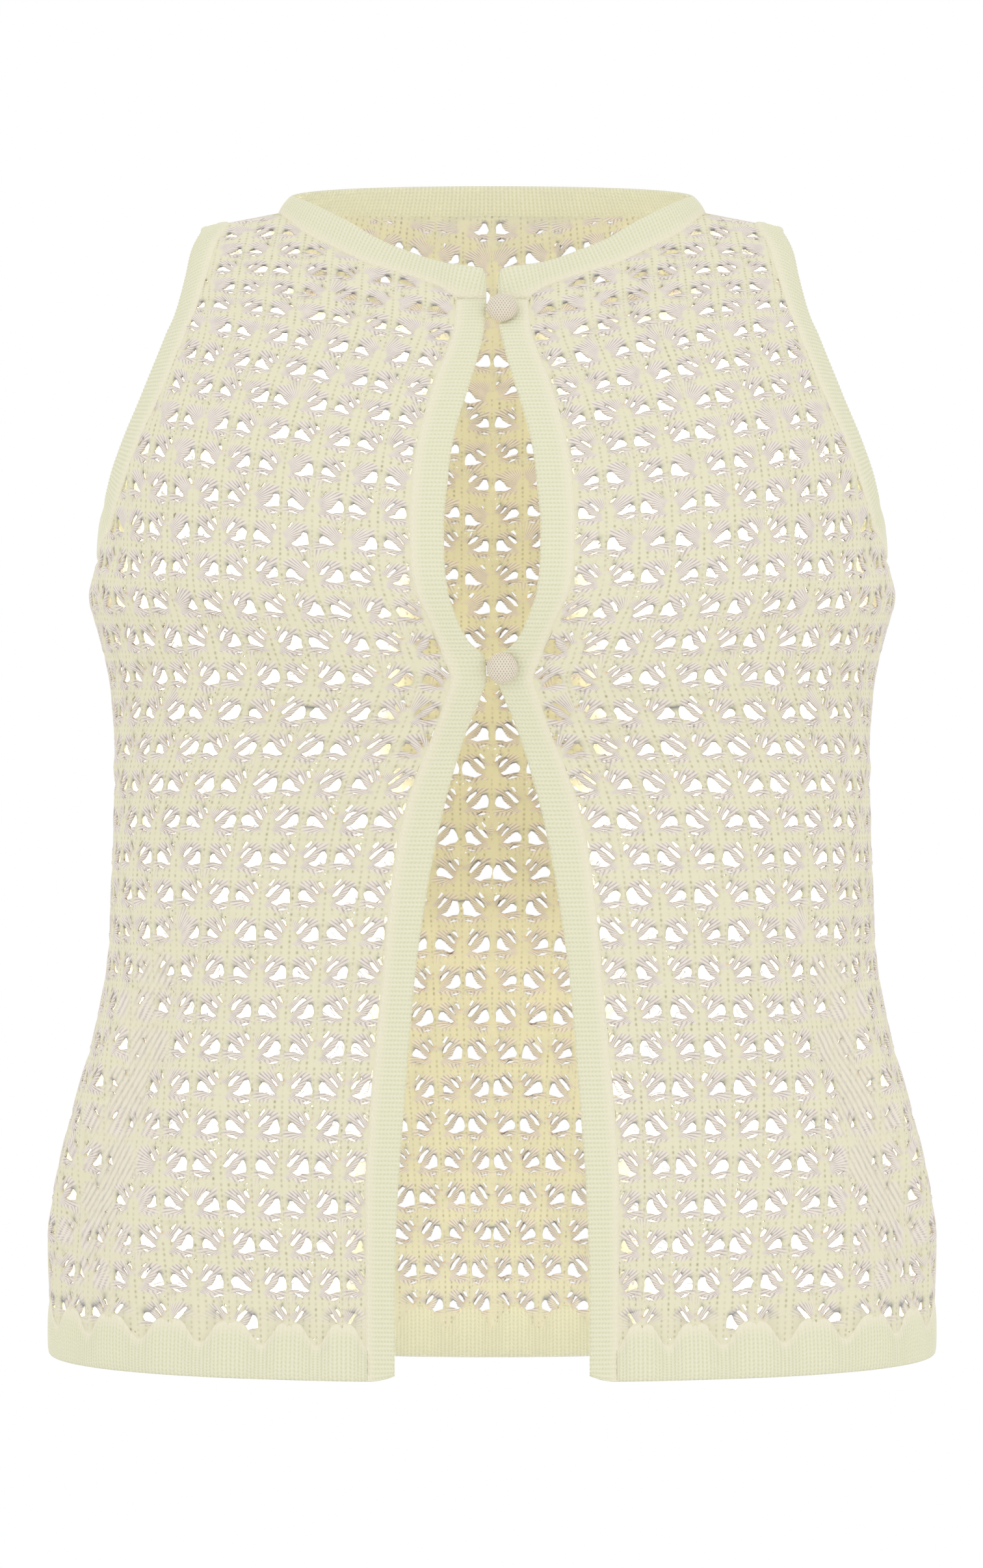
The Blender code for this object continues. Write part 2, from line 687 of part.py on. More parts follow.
def shoulder_line(form, s_from, s_to):
    s = np.linspace(s_from, s_to, SHOULDER_STATIONS)[1:-1]
    return np.stack([s, np.full(len(s), form.top)], axis=1)


def placket_heights():
    """The plackets' stations, from the hem up."""
    line = np.stack([column(PLACKET, "seam"), column(PLACKET, "height")], axis=1)
    return even_stations(line, PLACKET_STEP)[:, 1]


# ---------------------------------------------------------------- the pieces


def front_outline():
    hem = hem_seam(FRONT, placket_seam)
    armhole = armhole_lines(FRONT)[2]
    neck = front_neck_seam()
    placket = placket_line("seam", placket_heights()[1:-1])
    placket = placket[placket[:, 1] > hem[0, 1] + SCALLOP_MARGIN]
    return np.concatenate(
        [
            hem,
            side_line(FRONT, hem[-1, 1], armhole[0, 1]),
            armhole,
            shoulder_line(FRONT, armhole[-1, 0], neck[-1, 0]),
            neck[::-1],
            placket[::-1],
        ]
    )


def back_outline():
    hem = hem_seam(BACK, centre_back)
    armhole = armhole_lines(BACK)[2]
    neck_s = float(BACK.along(NECK_HALF_WIDTH, BACK.top)[0])
    neck = np.linspace(0.0, neck_s, round(neck_s / NECK_STEP) + 1)
    half = np.concatenate(
        [
            hem,
            side_line(BACK, hem[-1, 1], armhole[0, 1]),
            armhole,
            shoulder_line(BACK, armhole[-1, 0], neck_s),
            np.stack([neck[::-1], np.full(len(neck), BACK.top)], axis=1),
        ]
    )
    other = half[1:-1][::-1] * np.array([-1.0, 1.0])
    return np.concatenate([half, other])


def on_surface(form, lines, side):
    """Rows of (s, v) points as rows of points and outward directions."""
    rows = [form.at(side * line[:, 0], line[:, 1]) for line in lines]
    normals = [form.normals(side * line[:, 0], line[:, 1]) for line in lines]
    return rows, normals


def shifted(line, towards, gap):
    """A line of (s, v) points moved by a gap towards another line with the same stations."""
    run = towards - line
    return line + run / np.linalg.norm(run, axis=1, keepdims=True) * gap


def build_hem_band(name, form, seam_s, side, whole_width):
    """The band under one front, or under the whole back."""
    seam = hem_seam(form, seam_s)
    edge = np.array([(s, form.length_up(hem_height(form, s))) for s, _ in seam])
    edge[-1, 0] = form.reach_at(edge[-1, 1])
    if whole_width:
        mirror = np.array([-1.0, 1.0])
        seam = np.concatenate([seam[:0:-1] * mirror, seam])
        edge = np.concatenate([edge[:0:-1] * mirror, edge])
    for line in (seam, edge):
        line[0, 0] += SEAM_GAP / 2
        line[-1, 0] -= SEAM_GAP / 2
    seam[:, 1] -= SEAM_GAP / 2
    rows, normals = on_surface(form, [seam, (seam + edge) / 2, edge], side)
    band(name, rows, normals, closed=False)


def build_placket(name, side):
    heights = placket_heights()
    heights[-1] = PLACKET_TOP - SEAM_GAP
    seam, edge = placket_line("seam", heights), placket_line("edge", heights)
    seam = shifted(seam, edge, SEAM_GAP / 2)
    edge[0, 1] += PLACKET_CORNER_RISE
    rows, normals = on_surface(FRONT, [seam, (seam + edge) / 2, edge], side)
    band(name, rows, normals, closed=False)


def front_neck_half():
    """The neckband's seam points, their outward directions and its edge points, up to the shoulder."""
    table = np.array(FRONT_NECK, float)
    length = running_length(table[2:, :2])
    at = np.linspace(0.0, length[-1], len(front_neck_seam()))
    smooth = np.stack([curve_through(length, table[2:, k], at) for k in range(table.shape[1])], axis=1)
    seam_x, seam_height, edge_x, edge_height, lean = np.concatenate([table[:2], smooth]).T
    v = FRONT.length_up(seam_height)
    v[-1] = FRONT.top
    s = FRONT.along(seam_x, v)
    seam = FRONT.at(s, v)
    return seam, FRONT.normals(s, v), np.stack([edge_x, seam[:, 1] + lean, edge_height], axis=1)


def back_neck_half():
    """The same three from the shoulder to the centre back, where the band stands highest."""
    neck_s = float(BACK.along(NECK_HALF_WIDTH, BACK.top)[0])
    s = np.linspace(neck_s, 0.0, round(neck_s / NECK_STEP) + 1)[1:]
    v = np.full(len(s), BACK.top)
    seam = BACK.at(s, v)
    turn = np.arccos(np.clip(seam[:, 0] / NECK_HALF_WIDTH, 0.0, 1.0))
    shoulder = FRONT_NECK[-1].edge_height
    edge_x = BACK_NECK_EDGE_X * np.cos(turn)
    edge_y = BACK_NECK_EDGE_DEPTH * np.sin(turn) ** BACK_NECK_EDGE_POWER
    edge_height = shoulder + (BACK_NECK_TOP - shoulder) * np.sin(turn)
    return seam, BACK.normals(s, v), np.stack([edge_x, edge_y, edge_height], axis=1)


def unit(vectors):
    return vectors / np.linalg.norm(vectors, axis=1, keepdims=True)


def build_neckband(name):
    """One strip: up the right front, round the back, down the left front."""
    half = [np.concatenate(parts) for parts in zip(front_neck_half(), back_neck_half())]
    mirror = np.array([-1.0, 1.0, 1.0])
    seam, seam_out, edge = [np.concatenate([part[:-1] * mirror, part[::-1]]) for part in half]
    across = unit(edge - seam)
    edge_out = unit(np.cross(across, np.gradient(seam, axis=0)))
    edge_out *= np.sign(np.sum(edge_out * seam_out, axis=1, keepdims=True))
    seam = seam + across * SEAM_GAP
    middle_out = unit(seam_out * (1.0 - NECKBAND_TURN) + edge_out * NECKBAND_TURN)
    band(name, [seam, (seam + edge) / 2, edge], [seam_out, middle_out, edge_out], closed=False)


def build_armhole_band(name, side):
    """A ring: up the front of the armhole from the underarm, and down its back."""
    halves = []
    for form in (FRONT, BACK):
        edge, middle, seam = armhole_lines(form)
        halves.append(on_surface(form, [shifted(seam, edge, SEAM_GAP / 2), middle, edge], side))
    (front_rows, front_out), (back_rows, back_out) = halves
    rows = [np.concatenate([front, back[-2:0:-1]]) for front, back in zip(front_rows, back_rows)]
    normals = [np.concatenate([front, back[-2:0:-1]]) for front, back in zip(front_out, back_out)]
    band(name, rows, normals, closed=True)


# ---------------------------------------------------------------- buttons and loops

BUTTON_RADIUS = 7.3
BUTTON_BACK_RADIUS = 6.0
BUTTON_RIM = 1.5
BUTTON_CROWN = 4.2
BUTTON_RINGS = range(-20, 80, 18)  # degrees up the dome
BUTTON_SIDES = 20
SHANK_RADIUS = 1.6
SHANK_LENGTH = 2.4
BUTTON_CENTRES = {"upper": (4.6, -64.5), "lower": (4.6, -234.4)}
BUTTON_UPTURN = 0.5  # a button faces half as far up as the cloth under it
LOOP_RADIUS = 0.55
LOOP_HALF_HEIGHT = 3.2
LOOP_PLAY = 0.35
LOOP_SIDES = 8
LOOP_RUN_STEPS = 6
LOOP_TURN_STEPS = 8
LOOP_RISE_SHARE = 0.65
ABOVE_MIDDLE = BAND_THICKNESS / 2 + BAND_CROWN + SEAM_GAP


def button_place(x, height):
    """A point in the middle of the left placket's wall, and the direction that its button faces."""
    v = float(FRONT.length_up(height))
    s = float(FRONT.along(max(x, read(PLACKET, "height", "edge", height)), v)[0])
    point = FRONT.at(s, v)
    point[0] = x
    normal = FRONT.normals(s, v)
    return Vector(point), Vector((0.0, normal[1], normal[2] * BUTTON_UPTURN)).normalized()


def button_profile():
    """Half of the button's section, as (distance from its axis, height): shank, back, rim and dome."""
    profile = [(0.0, 0.0), (SHANK_RADIUS, 0.0), (SHANK_RADIUS, SHANK_LENGTH)]
    profile.append((BUTTON_BACK_RADIUS, SHANK_LENGTH))
    for degrees in BUTTON_RINGS:
        turn = math.radians(degrees)
        rise = SHANK_LENGTH + BUTTON_RIM + BUTTON_CROWN * math.sin(turn)
        profile.append((BUTTON_RADIUS * math.cos(turn), rise))
    profile.append((0.0, SHANK_LENGTH + BUTTON_RIM + BUTTON_CROWN))
    return profile


def build_button(name, x, height):
    """A domed, cloth-covered button on a short shank, turned from its profile."""
    middle, facing = button_place(x, height)
    mesh = bpy.data.meshes.new(name)
    shape = bmesh.new()
    line = [shape.verts.new((out * MM, 0.0, up * MM)) for out, up in button_profile()]
    for a, b in zip(line, line[1:]):
        shape.edges.new((a, b))
    bmesh.ops.spin(
        shape,
        geom=shape.verts[:] + shape.edges[:],
        cent=(0, 0, 0),
        axis=(0, 0, 1),
        angle=2 * math.pi,
        steps=BUTTON_SIDES,
        use_merge=True,
    )
    bmesh.ops.remove_doubles(shape, verts=shape.verts, dist=1e-6)
    bmesh.ops.recalc_face_normals(shape, faces=shape.faces)
    shape.to_mesh(mesh)
    shape.free()
    mesh.shade_smooth()
    mesh.set_sharp_from_angle(angle=math.radians(50))
    mesh.materials.append(material("button"))
    piece = bpy.data.objects.new(name, mesh)
    piece.location = (middle + facing * ABOVE_MIDDLE) * MM
    piece.rotation_euler = facing.to_track_quat("Z", "Y").to_euler()
    bpy.context.scene.collection.objects.link(piece)


def loop_route(x, height):
    """From the right placket's edge out over the left placket, round the shank and back."""
    middle, facing = button_place(x, height)
    across = Vector((1.0, 0.0, 0.0))
    up = facing.cross(across)
    over = ABOVE_MIDDLE + SHANK_LENGTH / 2
    runs = []
    for side in (-1, 1):
        rise = side * LOOP_HALF_HEIGHT
        first = SEAM_GAP - float(read(PLACKET, "height", "edge", height + rise))
        run = []
        for step in range(LOOP_RUN_STEPS):
            share = step / LOOP_RUN_STEPS
            climb = min(1.0, share / LOOP_RISE_SHARE)
            out = over * climb * climb * (3.0 - 2.0 * climb)
            run.append(middle + across * ((first - x) * (1.0 - share)) + up * rise + facing * out)
        runs.append(run)
    far = SHANK_RADIUS + LOOP_RADIUS + LOOP_PLAY
    turns = [math.pi * (step / LOOP_TURN_STEPS - 0.5) for step in range(LOOP_TURN_STEPS + 1)]
    round_shank = [
        middle + across * (far * math.cos(t)) + up * (LOOP_HALF_HEIGHT * math.sin(t)) + facing * over
        for t in turns
    ]
    return runs[0] + round_shank + runs[1][::-1], facing


def build_loop(name, x, height):
    """A thin elastic cord along its route, with a round section and flat ends."""
    route, facing = loop_route(x, height)
    last = len(route) - 1
    points, faces = [], []
    for k, place in enumerate(route):
        ahead = route[min(k + 1, last)] - route[max(k - 1, 0)]
        side = ahead.cross(facing).normalized()
        out = side.cross(ahead).normalized()
        for j in range(LOOP_SIDES):
            turn = 2 * math.pi * j / LOOP_SIDES
            points.append(place + (side * math.cos(turn) + out * math.sin(turn)) * LOOP_RADIUS)
    for a in range(0, last * LOOP_SIDES, LOOP_SIDES):
        b = a + LOOP_SIDES
        for j in range(LOOP_SIDES):
            beyond = (j + 1) % LOOP_SIDES
            faces.append((a + j, a + beyond, b + beyond, b + j))
    faces.append(tuple(range(LOOP_SIDES)))
    faces.append(tuple(last * LOOP_SIDES + j for j in reversed(range(LOOP_SIDES))))
    add_object(name, points, faces, "loop")


# ---------------------------------------------------------------- the garment

for old in list(bpy.data.objects):
    bpy.data.objects.remove(old)

front = front_outline()
panel("front_left", FRONT, front, placket_seam, [1], FRONT_COLUMNS, FRONT_ROWS)
panel("front_right", FRONT, front[::-1] * [-1.0, 1.0], placket_seam, [-1], FRONT_COLUMNS, FRONT_ROWS)
panel("back", BACK, back_outline(), centre_back, [-1, 1], BACK_COLUMNS, BACK_ROWS)
build_hem_band("hem_band_back", BACK, centre_back, side=1, whole_width=True)
for hand, side in (("right", -1), ("left", 1)):
    build_hem_band("hem_band_front_" + hand, FRONT, placket_seam, side, whole_width=False)
    build_placket("placket_" + hand, side)
    build_armhole_band("armhole_band_" + hand, side)
build_neckband("neckband")
for where, (across, height) in BUTTON_CENTRES.items():
    build_button("button_" + where, across, height)
    build_loop("loop_" + where, across, height)
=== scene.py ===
import math

import bmesh
import bpy
import numpy as np
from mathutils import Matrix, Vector
from mathutils.geometry import delaunay_2d_cdt


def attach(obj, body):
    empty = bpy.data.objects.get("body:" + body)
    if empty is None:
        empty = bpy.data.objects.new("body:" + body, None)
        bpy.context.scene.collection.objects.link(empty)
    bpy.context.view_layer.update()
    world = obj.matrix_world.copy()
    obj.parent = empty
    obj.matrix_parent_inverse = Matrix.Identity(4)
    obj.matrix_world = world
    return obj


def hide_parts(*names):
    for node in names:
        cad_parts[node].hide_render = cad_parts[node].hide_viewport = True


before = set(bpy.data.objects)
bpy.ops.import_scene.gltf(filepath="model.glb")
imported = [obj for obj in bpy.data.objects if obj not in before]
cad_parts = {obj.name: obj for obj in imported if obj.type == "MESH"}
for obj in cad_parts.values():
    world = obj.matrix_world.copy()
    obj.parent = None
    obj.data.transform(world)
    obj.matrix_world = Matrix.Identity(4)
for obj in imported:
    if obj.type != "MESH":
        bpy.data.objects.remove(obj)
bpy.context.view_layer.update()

# ---------------------------------------------------------------- lace panels
# The two fronts and the back: openwork lace knitted by machine in a fine cotton and viscose yarn. Fans of
# plain stitches stand in half-drop rows, joined by strands that leave big and small gaps between them.
# The cloth is worn, so it is stretched over the bust, drawn in at the waist and hangs free at the hem.

MM = 0.001
HANDS = (("left", 1), ("right", -1))  # the wearer's two sides, and the sign of x on each
FLAT_MIRROR = np.array([-1.0, 1.0])

# The side line: height, half width, and the power of the section's superellipse.
SIDE_LINE = np.array([
    (-600, 216.6, 2.35), (-511, 216.0, 2.35), (-485, 213.6, 2.35), (-447, 205.0, 2.30),
    (-409, 194.3, 2.30), (-370, 187.7, 2.30), (-319, 185.7, 2.30), (-275, 184.5, 2.30),
    (-242, 186.5, 2.30), (-216, 192.2, 2.25), (-197, 197.0, 2.25), (-178, 192.8, 2.30),
    (-140, 189.8, 2.40), (-100, 175.8, 2.60), (-60, 158.3, 3.00), (-30, 151.5, 3.60),
    (-12, 149.0, 4.00), (0, 146.2, 4.00),
])  # fmt: skip
# Height, and how far the centre front or back stands out.
FRONT_DEPTH = np.array([
    (-600, 143), (-567, 140), (-480, 130), (-400, 120), (-330, 118), (-275, 124), (-235, 137), (-196, 145),
    (-176, 140), (-140, 127), (-96, 104), (-60, 77), (-30, 48), (-12, 27), (-6, 18), (-2, 9), (0, 0),
], float)  # fmt: skip
BACK_DEPTH = np.array([
    (-600, 127), (-480, 122), (-400, 114), (-330, 105), (-275, 102), (-235, 108), (-196, 114), (-150, 112),
    (-100, 103), (-60, 92), (-30, 82), (-12, 76), (0, 72),
], float)  # fmt: skip
# The shoulder line drops towards the armhole: distance across, height.
SHOULDER_LINE = np.array([
    (0, -1.5), (60, -3.0), (105, -8.5), (118, -11.0), (132, -13.7), (143, -16.5), (150, -20.0),
])  # fmt: skip
SHOULDER_FADE = 70.0
NECK_HALF_WIDTH = 105.0
BACK_NECK_DEPTH = 72.0
BACK_NECK_ROUNDNESS = 0.7
BACK_NECK_BLEND = 1.6

# The creases: from one point to another, as a share of the way from the centre line to the side and a
# height, then half the width of the ridge or trough and its height over the form.
FRONT_CREASES = [
    (0.58, -330, 0.84, -560, 13, -3.4),
    (0.68, -340, 0.93, -540, 12, 3.0),
    (0.47, -400, 0.66, -567, 14, 2.2),
    (0.30, -470, 0.38, -590, 15, -2.0),
    (0.62, -195, 0.36, -245, 12, -2.2),
    (0.78, -235, 0.50, -215, 12, 1.8),
    (0.14, -238, 0.46, -222, 7, 1.1),
    (0.13, -252, 0.40, -274, 7, 1.2),
    (0.12, -245, 0.38, -248, 6, -1.0),
    (0.82, -292, 0.97, -322, 9, -1.4),
    (0.80, -268, 0.96, -286, 8, 1.2),
    (0.62, -392, 0.80, -548, 6, -1.3),
    (0.74, -430, 0.90, -566, 6, 1.2),
    (0.88, -150, 0.70, -196, 8, -1.2),
]
BACK_CREASES = [
    (0.10, -360, 0.22, -560, 15, -3.0),
    (0.30, -330, 0.42, -570, 15, 2.6),
    (0.55, -300, 0.66, -540, 14, -3.2),
    (0.72, -330, 0.88, -560, 13, 3.0),
    (0.40, -235, 0.05, -262, 13, -2.2),
    (0.70, -215, 0.35, -280, 13, 2.0),
    (0.58, -60, 0.74, -190, 11, -1.6),
    (0.46, -70, 0.52, -210, 12, 1.3),
    (0.80, -290, 0.96, -310, 8, -1.3),
    (0.16, -400, 0.30, -560, 7, 1.1),
]
CREASE_OVERRUN = 0.2
CREASE_FREE_SHARE = 0.06


def clamp(value):
    return np.clip(value, 0.0, 1.0)


def between(start, end, share):
    return start * (1.0 - share) + end * share


def read(table, at, column=1):
    """A smooth curve through a table's rows, which never swings past them. It is flat beyond its ends."""
    xs, ys, at = table[:, 0], table[:, column], np.asarray(at, float)
    steps = np.diff(xs)
    rises = np.diff(ys) / steps
    slopes = np.concatenate([rises[:1], np.zeros(len(xs) - 2), rises[-1:]])
    before, after = rises[:-1], rises[1:]
    same_way = before * after > 0
    slopes[1:-1][same_way] = 2 * (before * after)[same_way] / (before + after)[same_way]
    k = np.clip(np.searchsorted(xs, at, side="right") - 1, 0, len(xs) - 2)
    t = clamp((at - xs[k]) / steps[k])
    rise = ys[k + 1] - ys[k]
    start, end = slopes[k] * steps[k], slopes[k + 1] * steps[k]
    return ys[k] + t * (start + t * (3 * rise - 2 * start - end + t * (start + end - 2 * rise)))


def unit(vectors):
    return vectors / np.linalg.norm(vectors, axis=-1, keepdims=True)


def running_length(points):
    return np.concatenate([[0.0], np.cumsum(np.linalg.norm(np.diff(points, axis=0), axis=1))])


def points_at(points, length, at):
    """A line's points at the given lengths along it."""
    return np.stack([np.interp(at, length, column) for column in points.T], axis=1)


def columns_at(table, length, at):
    """A table's columns, each a smooth curve over the length, at the given lengths."""
    return np.stack([read(np.column_stack([length, column]), at) for column in table.T])


class Form:
    """The cloth of the front or the back, from the centre line to the side.

    A point is (s, v): the length of cloth round the body from the centre line, and up from the hem.
    """

    LEVEL_STEP = 2.5
    ACROSS = 193
    SECTION_POINTS = 400
    NORMAL_STEP = 3.0  # a direction is measured over this far to each side
    SIDE_SEAM_NEAR = 2.0
    SHOULDER_TURN, NECK_TURN = 7.0, 10.0  # how far from the shoulder's seam the directions begin to turn up

    def __init__(self, front):
        self.front = front
        self.outward = 1.0 if front else -1.0
        depths = FRONT_DEPTH if front else BACK_DEPTH
        length = running_length(depths)
        self.top = length[-1]
        self.levels = round(self.top / self.LEVEL_STEP)
        self.v = np.linspace(0.0, self.top, self.levels + 1)
        self.height, depth = columns_at(depths, length, self.v)
        rows = [self.section(h, d) for h, d in zip(self.height, depth)]
        self.reach = np.array([length for _, length in rows])
        self.points = np.stack([points for points, _ in rows])
        along, up = np.gradient(self.points, axis=1), np.gradient(self.points, axis=0)
        self.points += self.relief()[:, :, None] * unit(np.cross(along, up) * self.outward)

    def section(self, height, depth):
        """Half the section at one height, from the centre line to the side, and its length."""
        turn = np.linspace(0.0, math.pi / 2, self.SECTION_POINTS)
        power = 2.0 / read(SIDE_LINE, height, 2)
        x = read(SIDE_LINE, height) * np.sin(turn) ** power
        y = depth * np.maximum(np.cos(turn), 0.0) ** power
        near_shoulder = max(0.0, 1.0 + height / SHOULDER_FADE)
        if not self.front:
            inside = clamp(1.0 - (x / NECK_HALF_WIDTH) ** 2)
            y = between(y, BACK_NECK_DEPTH * inside**BACK_NECK_ROUNDNESS, near_shoulder**BACK_NECK_BLEND)
        z = height + near_shoulder * read(SHOULDER_LINE, x)
        points = np.stack([x, -y if self.front else y, z], axis=1)
        length = running_length(points)
        return points_at(points, length, np.linspace(0.0, length[-1], self.ACROSS)), length[-1]

    def relief(self):
        """How far the creases lift each point off the plain form."""
        share = np.linspace(0.0, 1.0, self.ACROSS)[None, :]
        across = share * self.reach[:, None]
        total = np.zeros((self.levels + 1, self.ACROSS))
        for share_from, height_from, share_to, height_to, half_width, rise in (
            FRONT_CREASES if self.front else BACK_CREASES
        ):
            run = (self.height[:, None] - height_from) / (height_to - height_from)
            run = np.clip(run, -CREASE_OVERRUN, 1.0 + CREASE_OVERRUN)
            line = (share_from + run * (share_to - share_from)) * self.reach[:, None]
            ends = clamp(1.0 - np.abs(2.0 * run - 1.0) ** 3)
            total += rise * ends * np.exp(-(((across - line) / half_width) ** 2))
        return total * clamp((1.0 - share) / CREASE_FREE_SHARE)

    def length_up(self, height):
        return np.interp(height, self.height, self.v)

    def height_at(self, v):
        return np.interp(v, self.v, self.height)

    def reach_at(self, v):
        return np.interp(v, self.v, self.reach)

    def along(self, x, v):
        """The length of cloth from the centre line out to x, at each v."""
        found = []
        for across, up in zip(np.atleast_1d(x), np.atleast_1d(v)):
            level = min(int(up / self.top * self.levels), self.levels - 1)
            part = up / self.top * self.levels - level
            line = between(self.points[level, :, 0], self.points[level + 1, :, 0], part)
            share = np.interp(abs(across), line, np.linspace(0.0, 1.0, self.ACROSS))
            found.append(math.copysign(share * self.reach_at(up), across))
        return np.array(found)

    def at(self, s, v):
        """Points of the surface. A negative s is on the wearer's right."""
        s, v = np.asarray(s, float), np.clip(np.asarray(v, float), 0.0, self.top)
        row = v / self.top * self.levels
        low = np.minimum(row.astype(int), self.levels - 1)
        part = (row - low)[..., None]
        share = clamp(np.abs(s) / self.reach_at(v)) * (self.ACROSS - 1)
        left = np.minimum(share.astype(int), self.ACROSS - 2)
        over = (share - left)[..., None]
        grid = self.points
        lower, upper = (between(grid[k, left], grid[k, left + 1], over) for k in (low, low + 1))
        found = between(lower, upper, part)
        found[..., 0] *= np.where(s < 0, -1.0, 1.0)
        return found

    def normals(self, s, v):
        """Outward directions. The side seam's don't lean fore or aft, and the shoulder seam's point up."""
        s, v = np.asarray(s, float), np.asarray(v, float)
        along = self.at(s + self.NORMAL_STEP, v) - self.at(s - self.NORMAL_STEP, v)
        up = self.at(s, v + self.NORMAL_STEP) - self.at(s, v - self.NORMAL_STEP)
        found = unit(np.cross(along, up) * self.outward)
        found[np.abs(np.abs(s) - self.reach_at(v)) < self.SIDE_SEAM_NEAR, 1] = 0.0
        off_shoulder = clamp((NECK_HALF_WIDTH - np.abs(self.at(s, v)[..., 0])) / self.NECK_TURN)
        lying = clamp((v - self.top) / self.SHOULDER_TURN + 1.0) ** 2 * (1.0 - off_shoulder)
        return unit(between(found, np.array([0.0, 0.0, 1.0]), lying[..., None]))


FRONT, BACK = Form(True), Form(False)

HEM_HEIGHT = -567.0
BACK_HEM_DIP = 18.3
SCALLOP_VALLEY, SCALLOP_PEAK = 15.0, 25.0
SCALLOP_BREADTH = 2.2  # more makes the hills broader and the valleys narrower
SCALLOP_FADE = 8.0  # from where the line runs level to the side seam
# The plackets: height, and the distance of the seam and of the front edge from the centre.
PLACKET = np.array([
    (-567, 58.0, 45.3), (-530, 58.1, 45.4), (-480, 58.3, 44.0), (-450, 56.8, 41.9), (-415, 54.0, 39.2),
    (-378, 50.5, 36.0), (-345, 47.4, 31.4), (-318, 43.6, 26.6), (-298, 39.0, 22.0), (-280, 32.6, 17.0),
    (-262, 25.2, 11.0), (-248, 20.6, 5.2), (-240, 18.2, 2.7), (-231, 21.2, 3.2), (-222, 24.6, 11.4),
    (-211, 29.5, 16.8), (-199, 34.9, 20.6), (-184, 37.1, 22.2), (-168, 37.5, 22.4), (-150, 36.7, 20.9),
    (-134, 34.9, 19.2), (-120, 32.1, 16.2), (-108, 28.8, 12.8), (-96, 25.2, 9.2), (-84, 20.6, 6.0),
    (-72, 17.2, 3.6), (-58, 16.2, 2.8),
])  # fmt: skip
# The front neckband: seam x, seam height, edge x, edge height, lean.
FRONT_NECK = np.array([
    (2.8, -57.6, 2.8, -47.0, 1.5), (9.0, -57.4, 5.0, -42.4, 3.0), (16.2, -56.0, 13.0, -40.9, 4.0),
    (27.0, -49.6, 24.7, -38.5, 4.0), (43.0, -43.4, 39.2, -33.2, 4.0), (60.0, -37.0, 53.8, -26.7, 4.0),
    (76.0, -27.4, 70.5, -16.1, 4.0), (91.0, -16.5, 84.5, -8.0, 3.0), (105.0, 0.0, 98.0, -0.4, 0.0),
])  # fmt: skip
# The armhole: height and reach of its edge, then of its seam.
ARMHOLE = np.array([
    (-164.5, 0.0, -179.0, 0.0), (-163.0, 14.0, -177.0, 19.0), (-157.0, 28.0, -170.0, 40.0),
    (-145.0, 39.5, -153.5, 56.5), (-125.0, 46.0, -128.0, 65.5), (-100.0, 45.0, -100.5, 64.5),
    (-70.0, 36.0, -68.0, 54.0), (-40.0, 26.0, -36.0, 41.5), (-15.0, 16.0, -12.0, 29.0),
    (-4.0, 10.0, -3.0, 22.5), (0.0, 3.0, 0.0, 16.0),
])  # fmt: skip
BACK_ARMHOLE_SHARE = 0.87

# The lace's rows: number, height on the front, height on the back, and rise of a row for each repeat.
LACE_ROWS = np.array([
    (-2, -578.0, -596.0, 0.0), (0, -542.5, -560.0, 0.0), (14, -291.0, -300.0, 0.0),
    (20, -192.0, -196.0, 2.0), (24, -125.5, -128.0, 4.8), (28, -67.5, -64.0, 5.6),
    (32, -19.5, 0.0, 4.5), (34, 4.0, 36.0, 4.0),
])  # fmt: skip
# Height, a repeat's width, its growth from one column to the next, and how much the fold gathers.
LACE_REPEAT = np.array([
    (-600, 22.5, 1.6, 1.0), (-550, 22.5, 1.6, 2.0), (-480, 25.5, 1.1, 6.0), (-400, 29.5, 0.5, 6.0),
    (-330, 32.0, 0.1, 0.0), (-280, 33.0, 0.0, 0.0), (-180, 31.5, 0.0, 0.0), (-60, 31.0, 0.0, 0.0),
    (0, 29.0, 0.0, 0.0),
])  # fmt: skip
GATHER_FROM, GATHER_TO = (3.8, -358.0), (5.2, -536.0)
GATHER_SPREAD = 0.6
TILT_COLUMN = 2.0
COLUMN_ROUNDS, ROW_ROUNDS = 30, 12  # how often a place's column and row are worked out anew

SEAM_HEIGHTS = np.linspace(-600, 0, 200)
SEAM_V = FRONT.length_up(SEAM_HEIGHTS)
SEAM_S = FRONT.along(read(PLACKET, SEAM_HEIGHTS), SEAM_V)


def seam_s(form, v):
    """Where the lace's columns count from: the placket's seam on a front, the centre line on the back."""
    return np.interp(v, SEAM_V, SEAM_S) if form.front else np.zeros_like(v)


def fold_line(height):
    """The side's fold: how far down it each height is, and its column there."""
    run = (height - GATHER_FROM[1]) / (GATHER_TO[1] - GATHER_FROM[1])
    return run, GATHER_FROM[0] + run * (GATHER_TO[0] - GATHER_FROM[0])


def gather(column, height):
    """By how much the fold draws a column in."""
    _, middle = fold_line(height)
    pull = read(LACE_REPEAT, height, 3)
    away = np.tanh((np.abs(column) - middle) / GATHER_SPREAD) + np.tanh(middle / GATHER_SPREAD)
    return pull * away * np.sign(column)


def lace_point(form, column, row):
    """The place (s, v) of a point of the lace that is given by its column and its row."""
    tilt = read(LACE_ROWS, row, 3)
    height = read(LACE_ROWS, row, 1 if form.front else 2) + tilt * (column - TILT_COLUMN)
    v = form.length_up(height)
    width, growth = read(LACE_REPEAT, height), read(LACE_REPEAT, height, 2)
    return seam_s(form, v) + width * column + growth * column * np.abs(column) - gather(column, height), v


